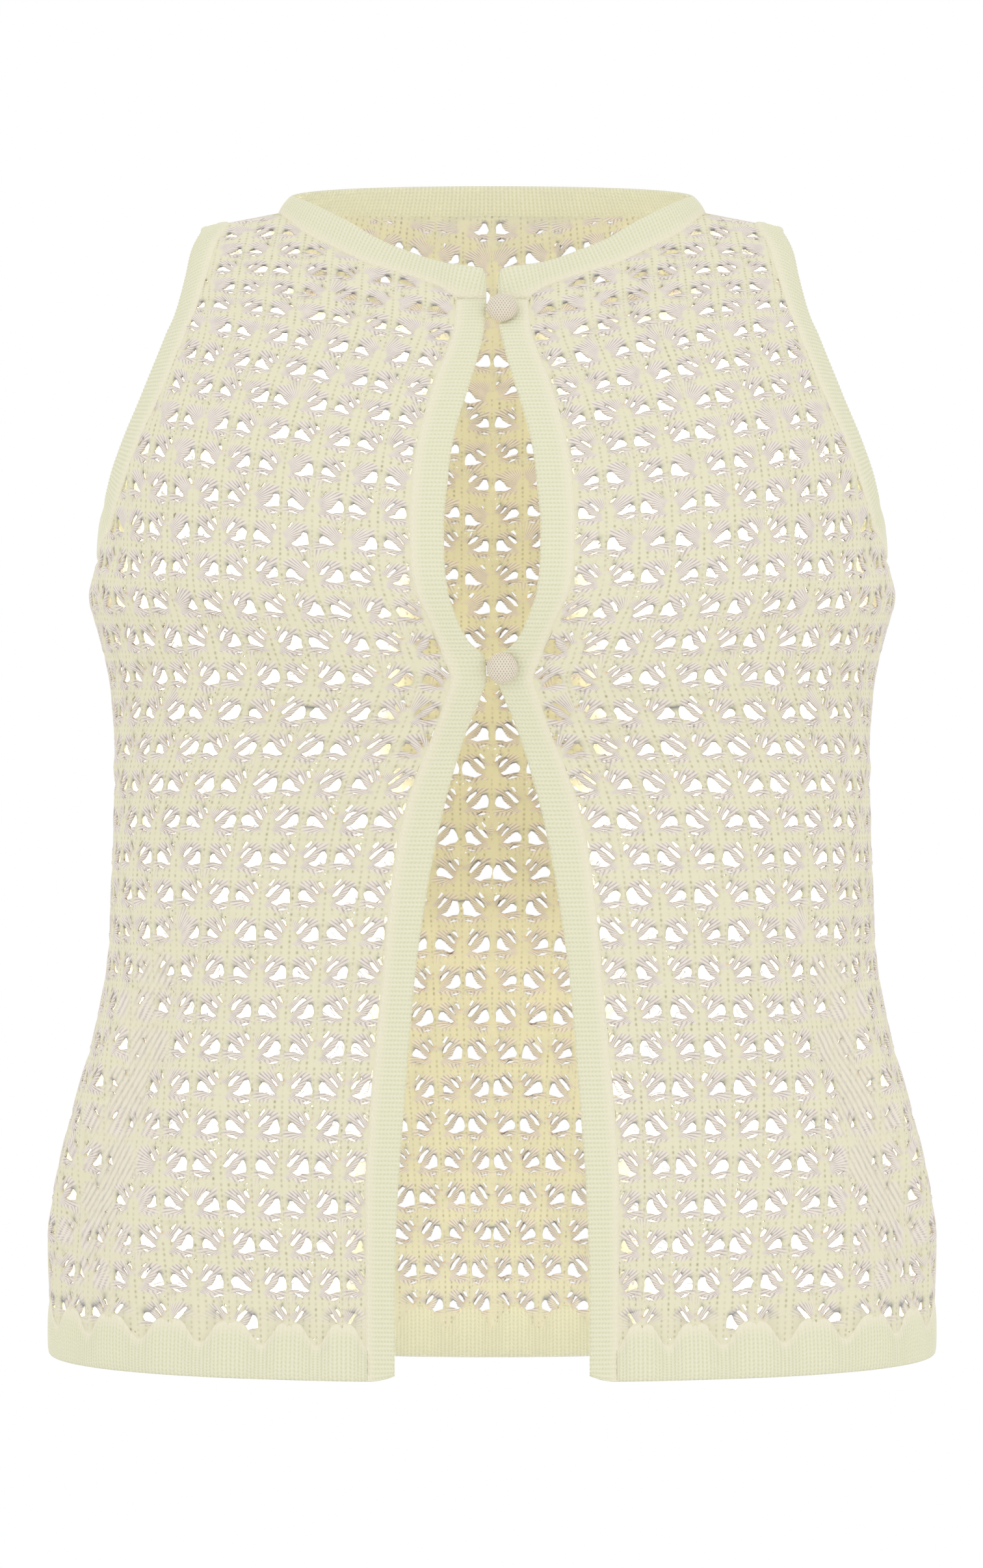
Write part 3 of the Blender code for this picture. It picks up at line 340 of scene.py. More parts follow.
def lace_place(form, s, v):
    """The column and the row of a point (s, v) of the cloth."""
    height = form.height_at(v)
    width, growth = read(LACE_REPEAT, height), read(LACE_REPEAT, height, 2)
    column = np.zeros_like(s)
    for _ in range(COLUMN_ROUNDS):
        column = (s - seam_s(form, v) + gather(column, height)) / (width + growth * np.abs(column))
    rows = np.linspace(LACE_ROWS[0, 0], LACE_ROWS[-1, 0], 400)
    heights = read(LACE_ROWS, rows, 1 if form.front else 2)
    row = np.interp(height, heights, rows)
    for _ in range(ROW_ROUNDS):
        row = np.interp(height - read(LACE_ROWS, row, 3) * (column - TILT_COLUMN), heights, rows)
    return column, row


# One fan, as shares of the repeat's width and of the row's height from its foot. The placket is at +x.
BIG_GAP_NEAR = [
    (0.155, -0.075), (0.265, -0.14), (0.34, -0.10), (0.455, -0.06), (0.468, 0.06), (0.462, 0.20),
    (0.42, 0.315), (0.365, 0.315), (0.315, 0.17), (0.25, 0.015),
]  # fmt: skip
SLIT_NEAR = [
    (0.07, 0.09), (0.105, 0.055), (0.15, 0.10), (0.225, 0.255), (0.315, 0.415), (0.265, 0.45), (0.15, 0.28),
]  # fmt: skip
SMALL_SLIT_NEAR = [(0.10, 0.40), (0.14, 0.37), (0.215, 0.535), (0.185, 0.585)]
BIG_GAP_FAR = [
    (-0.125, -0.06), (-0.19, -0.095), (-0.32, -0.03), (-0.43, -0.01), (-0.447, 0.08), (-0.435, 0.17),
    (-0.385, 0.27), (-0.335, 0.265), (-0.28, 0.19), (-0.205, 0.05),
]  # fmt: skip
SLIT_FAR = [(-0.10, 0.13), (-0.13, 0.12), (-0.20, 0.245), (-0.262, 0.37), (-0.225, 0.40), (-0.15, 0.27)]
MID_SLIT_FAR = [(-0.03, 0.275), (-0.065, 0.29), (-0.12, 0.405), (-0.16, 0.48), (-0.13, 0.52), (-0.07, 0.44)]
LOW_SLIT_NEAR = [(0.27, -0.285), (0.37, -0.27), (0.445, -0.225), (0.36, -0.22)]
LOW_SLIT_FAR = [(-0.23, -0.22), (-0.34, -0.185), (-0.43, -0.12), (-0.32, -0.135)]
DOT_NEAR = [(0.43, -0.34), (0.465, -0.35), (0.452, -0.29)]
DOT_ABOVE = [(-0.05, 0.50), (-0.08, 0.49), (-0.10, 0.56)]
# A short upright slit beside the placket's seam, once a row: from a fan half a repeat off, or at the seam.
SEAM_SLIT_HALF = [(0.437, 0.36), (0.465, 0.40), (0.463, 0.58), (0.441, 0.62)]
SEAM_SLIT_WHOLE = [(-0.063, 0.36), (-0.035, 0.40), (-0.037, 0.58), (-0.059, 0.62)]
FAN_GAPS = [
    BIG_GAP_NEAR, SLIT_NEAR, SMALL_SLIT_NEAR, BIG_GAP_FAR, SLIT_FAR, MID_SLIT_FAR,
    LOW_SLIT_NEAR, LOW_SLIT_FAR, DOT_NEAR, DOT_ABOVE, SEAM_SLIT_HALF, SEAM_SLIT_WHOLE,
]  # fmt: skip
LARGE_GAP_CORNERS = 6
FAN_STRANDS = [
    [(0.06, -0.05), (0.15, -0.025), (0.205, 0.03), (0.26, 0.16), (0.32, 0.31), (0.40, 0.44)],
    [(0.04, 0.10), (0.11, 0.21), (0.205, 0.38), (0.28, 0.50)],
    [(0.12, -0.18), (0.26, -0.215), (0.40, -0.165)],
    [(-0.05, -0.04), (-0.105, -0.03), (-0.17, 0.06), (-0.23, 0.16), (-0.295, 0.29), (-0.36, 0.42)],
    [(-0.035, 0.11), (-0.10, 0.22), (-0.175, 0.35), (-0.26, 0.50)],
    [(-0.12, -0.13), (-0.28, -0.11), (-0.40, -0.06)],
]
# The fan's body of plain stitches: x, y and the share of its relief.
FAN_BODY = [
    (0.0, -0.10, 0.5), (-0.12, -0.22, 0.6), (0.12, -0.26, 0.6), (-0.25, -0.33, 0.5), (0.25, -0.38, 0.5),
    (0.0, -0.30, 0.9), (-0.12, -0.43, 0.9), (0.12, -0.44, 0.9), (0.0, -0.58, 0.8),
]  # fmt: skip
FAN_RIB = [(0.0, y) for y in (-0.80, -1.15, -1.50, -1.80)]
STRAND_RELIEF, BODY_RELIEF, RIB_RELIEF, RIM_RELIEF = 0.55, 0.5, 0.35, -0.15
# Only the drawn-out strands are shaded, from a little way off the foot to the fan above.
RIB_SHADE = 0.3
STRAND_REACH = 2.6  # mm from a strand's middle to where its shade ends
STRAND_FULL = 0.25  # the shade is full up to this share of its reach
FOOT_CLEAR = (2.2, 5.5)
END_FADE, END_FADED = (0.40, 0.62), 0.75
FAN_MM = np.array([31.0, 18.5])  # a repeat's width and a row's height
LACE_SKIN = 0.35  # how far the lace's face lies over the middle of its cloth
LACE_THICKNESS = 1.1
GAP_MARGIN = 1.3
RELIEF_MARGIN = 3.2  # clear of the bands' edges
SEAM_LAP = 2.0  # the lace runs on under the bands by this much

# How open the gaps are at each height.
GAP_SIZE = np.array([
    (-600, 0.87), (-500, 0.89), (-330, 0.89), (-270, 0.90), (-230, 0.89), (-170, 0.86), (-110, 0.82),
    (-60, 0.82), (0, 0.80),
])  # fmt: skip
# Towards the side they are smaller: by how much, and from which share of the way over which share.
SIDE_SHRINK, SIDE_FROM, SIDE_RUN = 0.4, 0.72, 0.3
# In the fold they are smaller too, and more are closed: the fold's half width in columns, what that grows
# by on the way down, and the gather at which it is full.
FOLD_SHRINK, FOLD_CLOSED, FOLD_SHADE = 0.5, 0.7, 0.5
FOLD_REACH, FOLD_REACH_GROWTH, FOLD_FULL = 0.55, 0.35, 6.0
# Over the bust and the shoulders the strands lie closer, so fewer of the slits between them are open.
SLITS = [FAN_GAPS.index(gap) for gap in (SLIT_NEAR, SMALL_SLIT_NEAR, SLIT_FAR, MID_SLIT_FAR, DOT_ABOVE)]
SLITS_CLOSE = (-250.0, -90.0)
SLIT_SIZE, SLIT_SHRINK, SLITS_CLOSED = 0.9, 0.2, 0.5
SMALL_GAPS_CLOSED = 0.12
# How unevenly the gaps are open, and how unevenly points and whole fans lie.
GAP_SPREAD, POINT_SPREAD, FAN_SPREAD = 0.09, 0.008, 0.012

# All of one fan's points in one table, with the shape that each belongs to and the point after it.
FAN_SHAPES = [np.array(shape) for shape in FAN_GAPS + FAN_STRANDS]
FAN_SHAPES += [np.array([place[:2]]) for place in FAN_BODY] + [np.array([place]) for place in FAN_RIB]
FAN_POINTS = np.concatenate(FAN_SHAPES)
SHAPE_OF = np.repeat(np.arange(len(FAN_SHAPES)), [len(shape) for shape in FAN_SHAPES])
SHAPE_START = np.concatenate([[0], np.cumsum([len(shape) for shape in FAN_SHAPES])[:-1]])
SHAPE_MIDDLE = np.array([shape.mean(axis=0) for shape in FAN_SHAPES])
GAPS, STRANDS = len(FAN_GAPS), len(FAN_STRANDS)
IN_GAP, IN_STRAND = SHAPE_OF < GAPS, (SHAPE_OF >= GAPS) & (SHAPE_OF < GAPS + STRANDS)
SMALL_GAP = np.array([len(shape) < LARGE_GAP_CORNERS and k < GAPS for k, shape in enumerate(FAN_SHAPES)])
POINT_RELIEF = np.where(IN_GAP, RIM_RELIEF, np.where(IN_STRAND, STRAND_RELIEF, RIB_RELIEF))
POINT_RELIEF[-len(FAN_BODY) - len(FAN_RIB) : -len(FAN_RIB)] = [BODY_RELIEF * p[2] for p in FAN_BODY]
MOST_CORNERS = max(len(shape) for shape in FAN_GAPS)


def smooth_step(value, low, high):
    t = clamp((value - low) / (high - low))
    return t * t * (3.0 - 2.0 * t)


def strand_shade(points):
    """How drawn-out the yarn is at each point of a fan: 1 on its strands, 0 in its body and at its foot."""
    spots = points * FAN_MM
    off = np.full(len(points), np.inf)
    for strand in FAN_STRANDS:
        for a, b in zip(np.array(strand) * FAN_MM, np.array(strand[1:]) * FAN_MM):
            share = clamp(((spots - a) @ (b - a)) / ((b - a) @ (b - a)))
            off = np.minimum(off, np.linalg.norm(spots - a - share[:, None] * (b - a), axis=1))
    shade = clamp(1.0 + STRAND_FULL - off / STRAND_REACH)
    shade *= smooth_step(np.linalg.norm(spots, axis=1), *FOOT_CLEAR)
    return shade * (1.0 - END_FADED * smooth_step(points[:, 1], *END_FADE))


POINT_SHADE = np.where(IN_GAP | IN_STRAND, strand_shade(FAN_POINTS), 0.0)
POINT_SHADE[-len(FAN_RIB) :] = RIB_SHADE
# Which way each point of a large gap's rim faces: 1 is the rim over the gap and -1 the rim under it.
POINT_RIM = np.zeros(len(FAN_POINTS))
for start, shape in zip(SHAPE_START, FAN_SHAPES[:GAPS]):
    if len(shape) >= LARGE_GAP_CORNERS:
        away = (shape - shape.mean(axis=0)) * FAN_MM
        POINT_RIM[start : start + len(shape)] = away[:, 1] / np.abs(away[:, 1]).max()


def inside(points, polygon):
    """Which points lie in a polygon. Each point may have a polygon of its own."""
    found = np.zeros(len(points), bool)
    corners = polygon.shape[-2]
    for k in range(corners):
        a, b = polygon[..., k, :], polygon[..., (k + 1) % corners, :]
        crosses = (a[..., 1] > points[:, 1]) != (b[..., 1] > points[:, 1])
        run = np.where(a[..., 1] == b[..., 1], 1.0, b[..., 1] - a[..., 1])
        at = a[..., 0] + (points[:, 1] - a[..., 1]) / run * (b[..., 0] - a[..., 0])
        found ^= crosses & (points[:, 0] < at)
    return found


def moved_in(outline, gap):
    """A closed line moved in by a gap, and by no more than twice that in a sharp corner."""
    before = unit(outline - np.roll(outline, 1, axis=0))
    after = unit(np.roll(outline, -1, axis=0) - outline)
    bisector = unit(np.stack([-(before + after)[:, 1], (before + after)[:, 0]], axis=1))
    left = np.stack([-before[:, 1], before[:, 0]], axis=1)
    return outline + bisector * (gap / np.maximum(np.sum(bisector * left, axis=1), 0.5))[:, None]


def fans(form, side, columns, rows, draw):
    """Every fan on one side of the cloth: its points, which of its shapes are there, its shade and gather."""
    feet = [(step + (0.0 if row % 2 else 0.5), row) for row in range(-1, rows + 1) for step in range(columns)]
    if not form.front and side < 0:
        feet = [foot for foot in feet if foot[0] > 0.0]
    number, row = np.array(feet, float).T
    foot_s, foot_v = lace_point(form, number, row)
    height = form.height_at(foot_v)
    down, fold = fold_line(height)
    off_fold = (number - fold) / (FOLD_REACH + FOLD_REACH_GROWTH * clamp(down))
    gathered = clamp(read(LACE_REPEAT, height, 3) / FOLD_FULL) * np.exp(-(off_fold**2))
    sideways = clamp((foot_s / form.reach_at(foot_v) - SIDE_FROM) / SIDE_RUN)
    size = read(GAP_SIZE, height) * (1.0 - SIDE_SHRINK * sideways)
    size *= 1.0 - FOLD_SHRINK * gathered
    spread = np.ones((len(feet), len(FAN_SHAPES)))
    spread[:, :GAPS] = size[:, None] * draw.normal(1.0, GAP_SPREAD, (len(feet), GAPS))
    high = smooth_step(height, *SLITS_CLOSE)[:, None]
    spread[:, SLITS] *= SLIT_SIZE - SLIT_SHRINK * high
    closed = SMALL_GAPS_CLOSED * SMALL_GAP + FOLD_CLOSED * gathered[:, None]
    closed[:, SLITS] += SLITS_CLOSED * high
    middle = SHAPE_MIDDLE[SHAPE_OF]
    placed = middle + (FAN_POINTS - middle) * spread[:, SHAPE_OF, None]
    placed = placed + draw.normal(0.0, POINT_SPREAD, placed.shape) * (IN_GAP | IN_STRAND)[:, None]
    placed = placed + draw.normal(0.0, FAN_SPREAD, (len(feet), 1, 2))
    there = draw.random(spread.shape) > closed
    there[:, GAPS:] = True
    there[:, GAPS - 2] &= form.front & (number == 0.5)
    there[:, GAPS - 1] &= form.front & (number == 0.0)
    pull = np.broadcast_to(gathered[:, None], placed.shape[:2])
    shade = POINT_SHADE + (FOLD_SHADE - POINT_SHADE) * pull
    s, v = lace_point(form, number[:, None] - placed[:, :, 0], row[:, None] + placed[:, :, 1])
    return np.stack([side * s, v], axis=2), there, shade, pull


def add_piece(name, node, mesh, cloth):
    """A visible piece that stands for a node, in its own cloth."""
    for face in mesh.polygons:
        face.use_smooth = True
    mesh.materials.append(cloth)
    piece = bpy.data.objects.new(name, mesh)
    bpy.context.scene.collection.objects.link(piece)
    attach(piece, "root")
    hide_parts(node)
    return piece


def lace_panel(name, node, form, outline, sides, columns, rows, seed):
    """A panel: its flat outline, gaps and strands triangulated, laid on the form and given its thickness."""
    draw = np.random.default_rng(seed)
    found = [fans(form, side, columns, rows, draw) for side in sides]
    points, there, shade, pull = (np.concatenate(parts) for parts in zip(*found))
    count, size = len(points), len(FAN_POINTS)
    points = points.reshape(-1, 2)
    kept = inside(points, moved_in(outline, GAP_MARGIN)).reshape(count, size)
    whole = np.logical_and.reduceat(kept, SHAPE_START, axis=1) & there
    kept &= np.where(IN_GAP | IN_STRAND, whole[:, SHAPE_OF], True)

    # The triangles keep these edges: the outline's, round each gap and along each strand.
    follows = np.arange(size) + 1
    last = np.append(SHAPE_START[1:] - 1, size - 1)
    follows[last] = SHAPE_START
    joined = kept & (IN_GAP | (IN_STRAND & ~np.isin(np.arange(size), last)))
    first = np.arange(count)[:, None] * size
    number = len(outline) + np.cumsum(kept) - 1
    edges = np.stack([number.reshape(kept.shape)[joined], number[(first + follows)[joined]]], axis=1)
    ring = np.arange(len(outline))
    edges = np.concatenate([np.stack([ring, np.roll(ring, -1)], axis=1), edges])
    flat = np.concatenate([outline, points[kept.ravel()]])
    found, _, triangles, sources, _, _ = delaunay_2d_cdt(
        [Vector(p) for p in flat.tolist()], edges.tolist(), [], 0, 1e-5
    )
    flat = np.array([tuple(p) for p in found])
    triangles = np.array([tuple(t) for t in triangles])
    source = np.array([origins[0] if origins else -1 for origins in sources])

    # What each point is marked with: in the fans, on the outline, and where crossing edges added one.
    free = inside(points, moved_in(outline, RELIEF_MARGIN)).reshape(kept.shape)
    gap_number = np.where(IN_GAP, np.arange(count)[:, None] * GAPS + SHAPE_OF, -1)
    marks = {
        "relief": (POINT_RELIEF * free, 0.0, RIM_RELIEF), "strand": (shade, 0.0, 0.0),
        "rim": (POINT_RIM, 0.0, 0.0), "fold": (pull, 0.0, 0.0), "gap": (gap_number, -1, -1),
    }  # fmt: skip
    for mark, (in_fans, on_outline, added) in marks.items():
        given = np.broadcast_to(in_fans, kept.shape)[kept]
        given = np.concatenate([np.full(len(outline), on_outline), given])
        marks[mark] = np.where(source < 0, added, given[source])

    # What lies outside the outline or in a gap is left open.
    corners = np.minimum(np.arange(MOST_CORNERS), np.diff(SHAPE_START)[:GAPS, None] - 1)
    polygons = points.reshape(count, size, 2)[:, SHAPE_START[:GAPS, None] + corners]
    polygons = polygons.reshape(count * GAPS, MOST_CORNERS, 2)
    middle = flat[triangles].mean(axis=1)
    left_open = ~inside(middle, outline)
    for k in range(3):
        gap = marks["gap"][triangles[:, k]]
        left_open |= (gap >= 0) & inside(middle, polygons[gap])
    used, triangles = np.unique(triangles[~left_open], return_inverse=True)
    triangles = triangles.reshape(-1, 3)
    if not form.front:
        triangles = triangles[:, ::-1]

    s, v = flat[used].T
    places = form.at(s, v) + form.normals(s, v) * (LACE_SKIN + marks["relief"][used])[:, None]
    mesh = bpy.data.meshes.new(name)
    mesh.from_pydata((places * MM).tolist(), [], triangles.tolist())
    mesh.update()
    uv = mesh.uv_layers.new(name="stitches")
    corner_point = np.empty(len(mesh.loops), int)
    mesh.loops.foreach_get("vertex_index", corner_point)
    stitches = np.stack(lace_place(form, np.abs(s), v), axis=1)
    uv.data.foreach_set("uv", stitches[corner_point].ravel())
    for mark in ("strand", "rim", "fold"):
        mesh.attributes.new(mark, "FLOAT", "POINT").data.foreach_set("value", marks[mark][used])
    piece = add_piece(name, node, mesh, lace_knit)
    thick = piece.modifiers.new("thickness", "SOLIDIFY")
    thick.thickness = LACE_THICKNESS * MM
    thick.offset = -1.0
    return piece


def even_line(table, step):
    """A smooth line through a few points, read at even steps along it."""
    length = running_length(table)
    at = np.linspace(0.0, length[-1], max(2, round(length[-1] / step) + 1))
    return columns_at(table, length, at).T


def placket_line(heights, part):
    """A line along the placket: 0 is its seam and 1 its edge."""
    v = FRONT.length_up(heights)
    x = between(read(PLACKET, heights), read(PLACKET, heights, 2), part)
    return np.stack([FRONT.along(x, v), v], axis=1)


def hem_height(form, s):
    if form.front:
        return np.full(np.shape(s), HEM_HEIGHT)
    reach = form.reach_at(form.length_up(HEM_HEIGHT))
    return HEM_HEIGHT - BACK_HEM_DIP * np.cos(math.pi / 2 * clamp(np.abs(s) / reach))


def hem_seam(form, s):
    """How far up the scalloped line between the lace and the hem band is."""
    columns = np.linspace(0.0, 12.0, 400)
    at, _ = lace_point(form, columns, np.zeros_like(columns))
    wave = (1.0 - np.cos(2 * math.pi * np.interp(np.abs(s), at, columns))) / 2
    wave = 1.0 - (1.0 - wave) ** SCALLOP_BREADTH
    side = clamp((form.reach_at(form.length_up(HEM_HEIGHT)) - np.abs(s)) / SCALLOP_FADE)
    rise = wave * side * (SCALLOP_PEAK - SCALLOP_VALLEY)
    return form.length_up(hem_height(form, s) + SCALLOP_VALLEY + rise)


def armhole_line(form, stations, part):
    """A line round the front or the back half of an armhole: 0 is the band's edge and 1 its seam."""
    edge_height, edge_reach, seam_height, seam_reach = ARMHOLE.T
    width = seam_reach - edge_reach
    edge_reach = edge_reach * (1.0 if form.front else BACK_ARMHOLE_SHARE)
    edge = np.stack([edge_reach, form.length_up(edge_height)], axis=1)
    seam = np.stack([edge_reach + width, form.length_up(seam_height)], axis=1)
    length = running_length(seam)
    at = np.linspace(0.0, length[-1], stations + 1)
    reach, v = between(columns_at(edge, length, at), columns_at(seam, length, at), part)
    reach[0], v[-1] = 0.0, form.top
    return np.stack([form.reach_at(v) - reach, v], axis=1)


HEM_STEP, SIDE_STEP, NECK_STEP = 2.5, 8.0, 5.0
ARMHOLE_POINTS, SHOULDER_POINTS, BACK_NECK_POINTS, PLACKET_POINTS = 60, 10, 24, 150
PLACKET_END = -60.0
BAND_WIDTH = 14.0  # about, from a band's seam to its edge
LAP_PART = SEAM_LAP / BAND_WIDTH
BACK_NECK_S = float(BACK.along(NECK_HALF_WIDTH, BACK.top)[0])


def side_line(form, v_low, v_high):
    low, high = form.height_at(v_low), form.height_at(v_high)
    v = form.length_up(np.linspace(low, high, round(float(high - low) / SIDE_STEP) + 1)[1:-1])
    return np.stack([form.reach_at(v), v], axis=1)


def outer_outline(form, start, neck_s):
    """The hem, side, armhole and shoulder of a front or of half the back, as far as the neck's corner."""
    s = np.arange(start, form.reach[0], HEM_STEP)
    v = hem_seam(form, s) - SEAM_LAP
    kept = s < form.reach_at(v) - 1.0
    s, v = s[kept], v[kept]
    hem = np.stack([np.append(s, form.reach_at(v[-1])), np.append(v, v[-1])], axis=1)
    armhole = armhole_line(form, ARMHOLE_POINTS, 1.0 - LAP_PART)
    shoulder = np.linspace(armhole[-1, 0], neck_s, SHOULDER_POINTS + 2)[1:-1]
    shoulder = np.stack([shoulder, np.full(SHOULDER_POINTS, form.top)], axis=1)
    return np.concatenate([hem, side_line(form, v[-1], armhole[0, 1]), armhole, shoulder])


def front_outline():
    table = FRONT_NECK[2:, :2]
    neck = even_line(table, NECK_STEP)
    neck[-1] = table[-1]
    neck_v = FRONT.length_up(np.minimum(neck[:, 1] + SEAM_LAP, 0.0))
    neck_v[-1] = FRONT.top
    neck = np.stack([FRONT.along(neck[:, 0], neck_v), neck_v], axis=1)
    foot = placket_line(np.array([HEM_HEIGHT]), LAP_PART)
    outer = outer_outline(FRONT, foot[0, 0], neck[-1, 0])
    placket = placket_line(np.linspace(HEM_HEIGHT, PLACKET_END, PLACKET_POINTS), LAP_PART)
    placket = placket[placket[:, 1] > outer[0, 1] + 2.0]
    return np.concatenate([outer, neck[::-1], placket[::-1]])


def back_outline():
    neck = np.linspace(BACK_NECK_S, 0.0, BACK_NECK_POINTS)
    neck = np.stack([neck, np.full(BACK_NECK_POINTS, BACK.top)], axis=1)
    half = np.concatenate([outer_outline(BACK, 0.0, BACK_NECK_S), neck])
    return np.concatenate([half, half[1:-1][::-1] * FLAT_MIRROR])


def linear(hex_colour):
    """An sRGB hex colour as a linear one."""
    found = []
    for k in (1, 3, 5):
        c = int(hex_colour[k : k + 2], 16) / 255.0
        found.append(c / 12.92 if c <= 0.04045 else ((c + 0.055) / 1.055) ** 2.4)
    return (*found, 1.0)


def material(name):
    """A new material, its node tree and its shader."""
    found = bpy.data.materials.new(name)
    found.use_nodes = True
    return found, found.node_tree, found.node_tree.nodes["Principled BSDF"]


def plug(tree, node, given):
    """Fills a node's sockets, each with a value, a colour, a node or (node, output)."""
    for socket, value in dict(given).items():
        if isinstance(value, bpy.types.Node):
            value = (value, 0)
        if isinstance(value, tuple) and isinstance(value[0], bpy.types.Node):
            tree.links.new(value[0].outputs[value[1]], node.inputs[socket])
        else:
            node.inputs[socket].default_value = value


def add(tree, kind, given=(), **settings):
    """A node with its settings and what goes into its sockets."""
    node = tree.nodes.new("ShaderNode" + kind)
    for name, value in settings.items():
        setattr(node, name, value)
    plug(tree, node, given)
    return node


WALES, COURSES = 8.0, 7.0  # pairs of wales across a repeat of about 31 mm, and stitches up a row of 18 mm
FOOT_DIP, ROW_RISE = 0.2, 0.6  # a fan begins this far under its foot, and a row is 0.6 of a repeat high
STREAKS = 52.0  # lines in a full turn round a foot
FOLD_ACROSS = (0.877, 0.48)  # the way across the side's fold, outwards and up
FOLD_LINE_PITCH = 0.0026  # m
KNIT_SURFACE = {"Roughness": 0.92, "Specular IOR Level": 0.15, "Sheen Weight": 0.15, "Sheen Roughness": 0.5}

# Lace knit in cotton and viscose: matt and a little fuzzy, so it has a weak sheen. Its plain stitches show
# as pale upright wales with small darker dots between them, painted shade in the hollows between the
# stitches. The drawn-out strands look greyer.
lace_knit, tree, shader = material("lace_knit_cotton_viscose")
place = add(tree, "UVMap", uv_map="stitches")
split = add(tree, "SeparateXYZ", {0: place})
across = add(tree, "Math", {0: (split, 0), 1: WALES * 2 * math.pi}, operation="MULTIPLY")
wave = add(tree, "Math", {0: across}, operation="COSINE")
up = add(tree, "Math", {0: (split, 1), 1: COURSES * 2 * math.pi}, operation="MULTIPLY")
bob = add(tree, "Math", {0: up}, operation="SINE")
valley = add(tree, "Math", {0: wave, 1: 0.5, 2: 0.5}, operation="MULTIPLY_ADD")
valley = add(tree, "Math", {0: valley, 1: 5.0}, operation="POWER", use_clamp=True)
dotting = add(tree, "Math", {0: bob, 1: 0.5, 2: 0.5}, operation="MULTIPLY_ADD")
shaded_dots = add(tree, "Math", {0: valley, 1: dotting}, operation="MULTIPLY")
strand = add(tree, "Attribute", attribute_name="strand")
plain = add(tree, "Math", {0: 1.0, 1: (strand, "Fac")}, operation="SUBTRACT", use_clamp=True)
shaded_dots = add(tree, "Math", {0: shaded_dots, 1: plain}, operation="MULTIPLY")
coords = add(tree, "TexCoord")
mottle = add(tree, "TexNoise", {"Vector": (coords, "Object"), "Scale": 260.0, "Detail": 3.0})
patchy = add(tree, "Math", {0: (mottle, 0), 1: 2.4, 2: -0.75}, operation="MULTIPLY_ADD", use_clamp=True)
shaded_dots = add(tree, "Math", {0: shaded_dots, 1: patchy}, operation="MULTIPLY")
soft = add(tree, "TexNoise", {"Vector": (coords, "Object"), "Scale": 22.0, "Detail": 2.0})
tint = add(tree, "Mix", {0: (soft, 0), 6: linear("#E5E1C6"), 7: linear("#E1DDC1")}, data_type="RGBA")
# The dark khaki of the dots is painted shade in the hollows between the stitches, which the bump sinks.
body = add(tree, "Mix", {0: shaded_dots, 6: (tint, 2), 7: linear("#A69D78")}, data_type="RGBA")
# Fine light and dark lines run along the strands, which spread from each fan's foot: painted light and
# shade of their twisted cords, from the turn round the nearest foot.
row_up = add(tree, "Math", {0: (split, 1), 1: FOOT_DIP}, operation="ADD")
row_number = add(tree, "Math", {0: row_up}, operation="FLOOR")
from_foot = add(tree, "Math", {0: row_up, 1: row_number}, operation="SUBTRACT")
from_foot = add(tree, "Math", {0: from_foot, 1: -FOOT_DIP}, operation="ADD")
from_foot = add(tree, "Math", {0: from_foot, 1: ROW_RISE}, operation="MULTIPLY")
odd = add(tree, "Math", {0: row_number, 1: 0.5}, operation="MULTIPLY")
aside = add(tree, "Math", {0: (split, 0), 1: odd}, operation="ADD")
aside = add(tree, "Math", {0: aside}, operation="FRACT")
aside = add(tree, "Math", {0: aside, 1: -0.5}, operation="ADD")
turn = add(tree, "Math", {0: from_foot, 1: aside}, operation="ARCTAN2")
cord_shading = add(tree, "Math", {0: turn, 1: STREAKS}, operation="MULTIPLY")
cord_shading = add(tree, "Math", {0: cord_shading}, operation="SINE")
# Where the side's fold draws the lace together they run down along the fold instead.
spot = add(tree, "SeparateXYZ", {0: (coords, "Object")})
out = add(tree, "Math", {0: (spot, 0)}, operation="ABSOLUTE")
out = add(tree, "Math", {0: out, 1: FOLD_ACROSS[0]}, operation="MULTIPLY")
across_fold = add(tree, "Math", {0: (spot, 2), 1: FOLD_ACROSS[1], 2: out}, operation="MULTIPLY_ADD")
along_fold = add(tree, "Math", {0: across_fold, 1: 2 * math.pi / FOLD_LINE_PITCH}, operation="MULTIPLY")
along_fold = add(tree, "Math", {0: (soft, 0), 1: 14.0, 2: along_fold}, operation="MULTIPLY_ADD")
along_fold = add(tree, "Math", {0: along_fold}, operation="SINE")
drawn = add(tree, "Attribute", attribute_name="fold")
cord_shading = add(tree, "Mix", {0: (drawn, "Fac"), 2: cord_shading, 3: along_fold})
cord_shading = add(tree, "Math", {0: (cord_shading, 0), 1: 0.6, 2: (mottle, 0)}, operation="MULTIPLY_ADD")
cord_shading = add(tree, "Math", {0: cord_shading, 1: -0.32}, operation="ADD", use_clamp=True)
# The strands' own greyer colour, lighter and darker along the lines: painted light and shade of the cords.
grey = add(tree, "Mix", {0: cord_shading, 6: linear("#EAE1D6"), 7: linear("#B3ABAA")}, data_type="RGBA")
greying = add(tree, "MapRange", {0: (strand, "Fac"), 1: 0.2, 2: 0.8}, interpolation_type="SMOOTHSTEP")
colour = add(tree, "Mix", {0: greying, 6: (body, 2), 7: (grey, 2)}, data_type="RGBA")
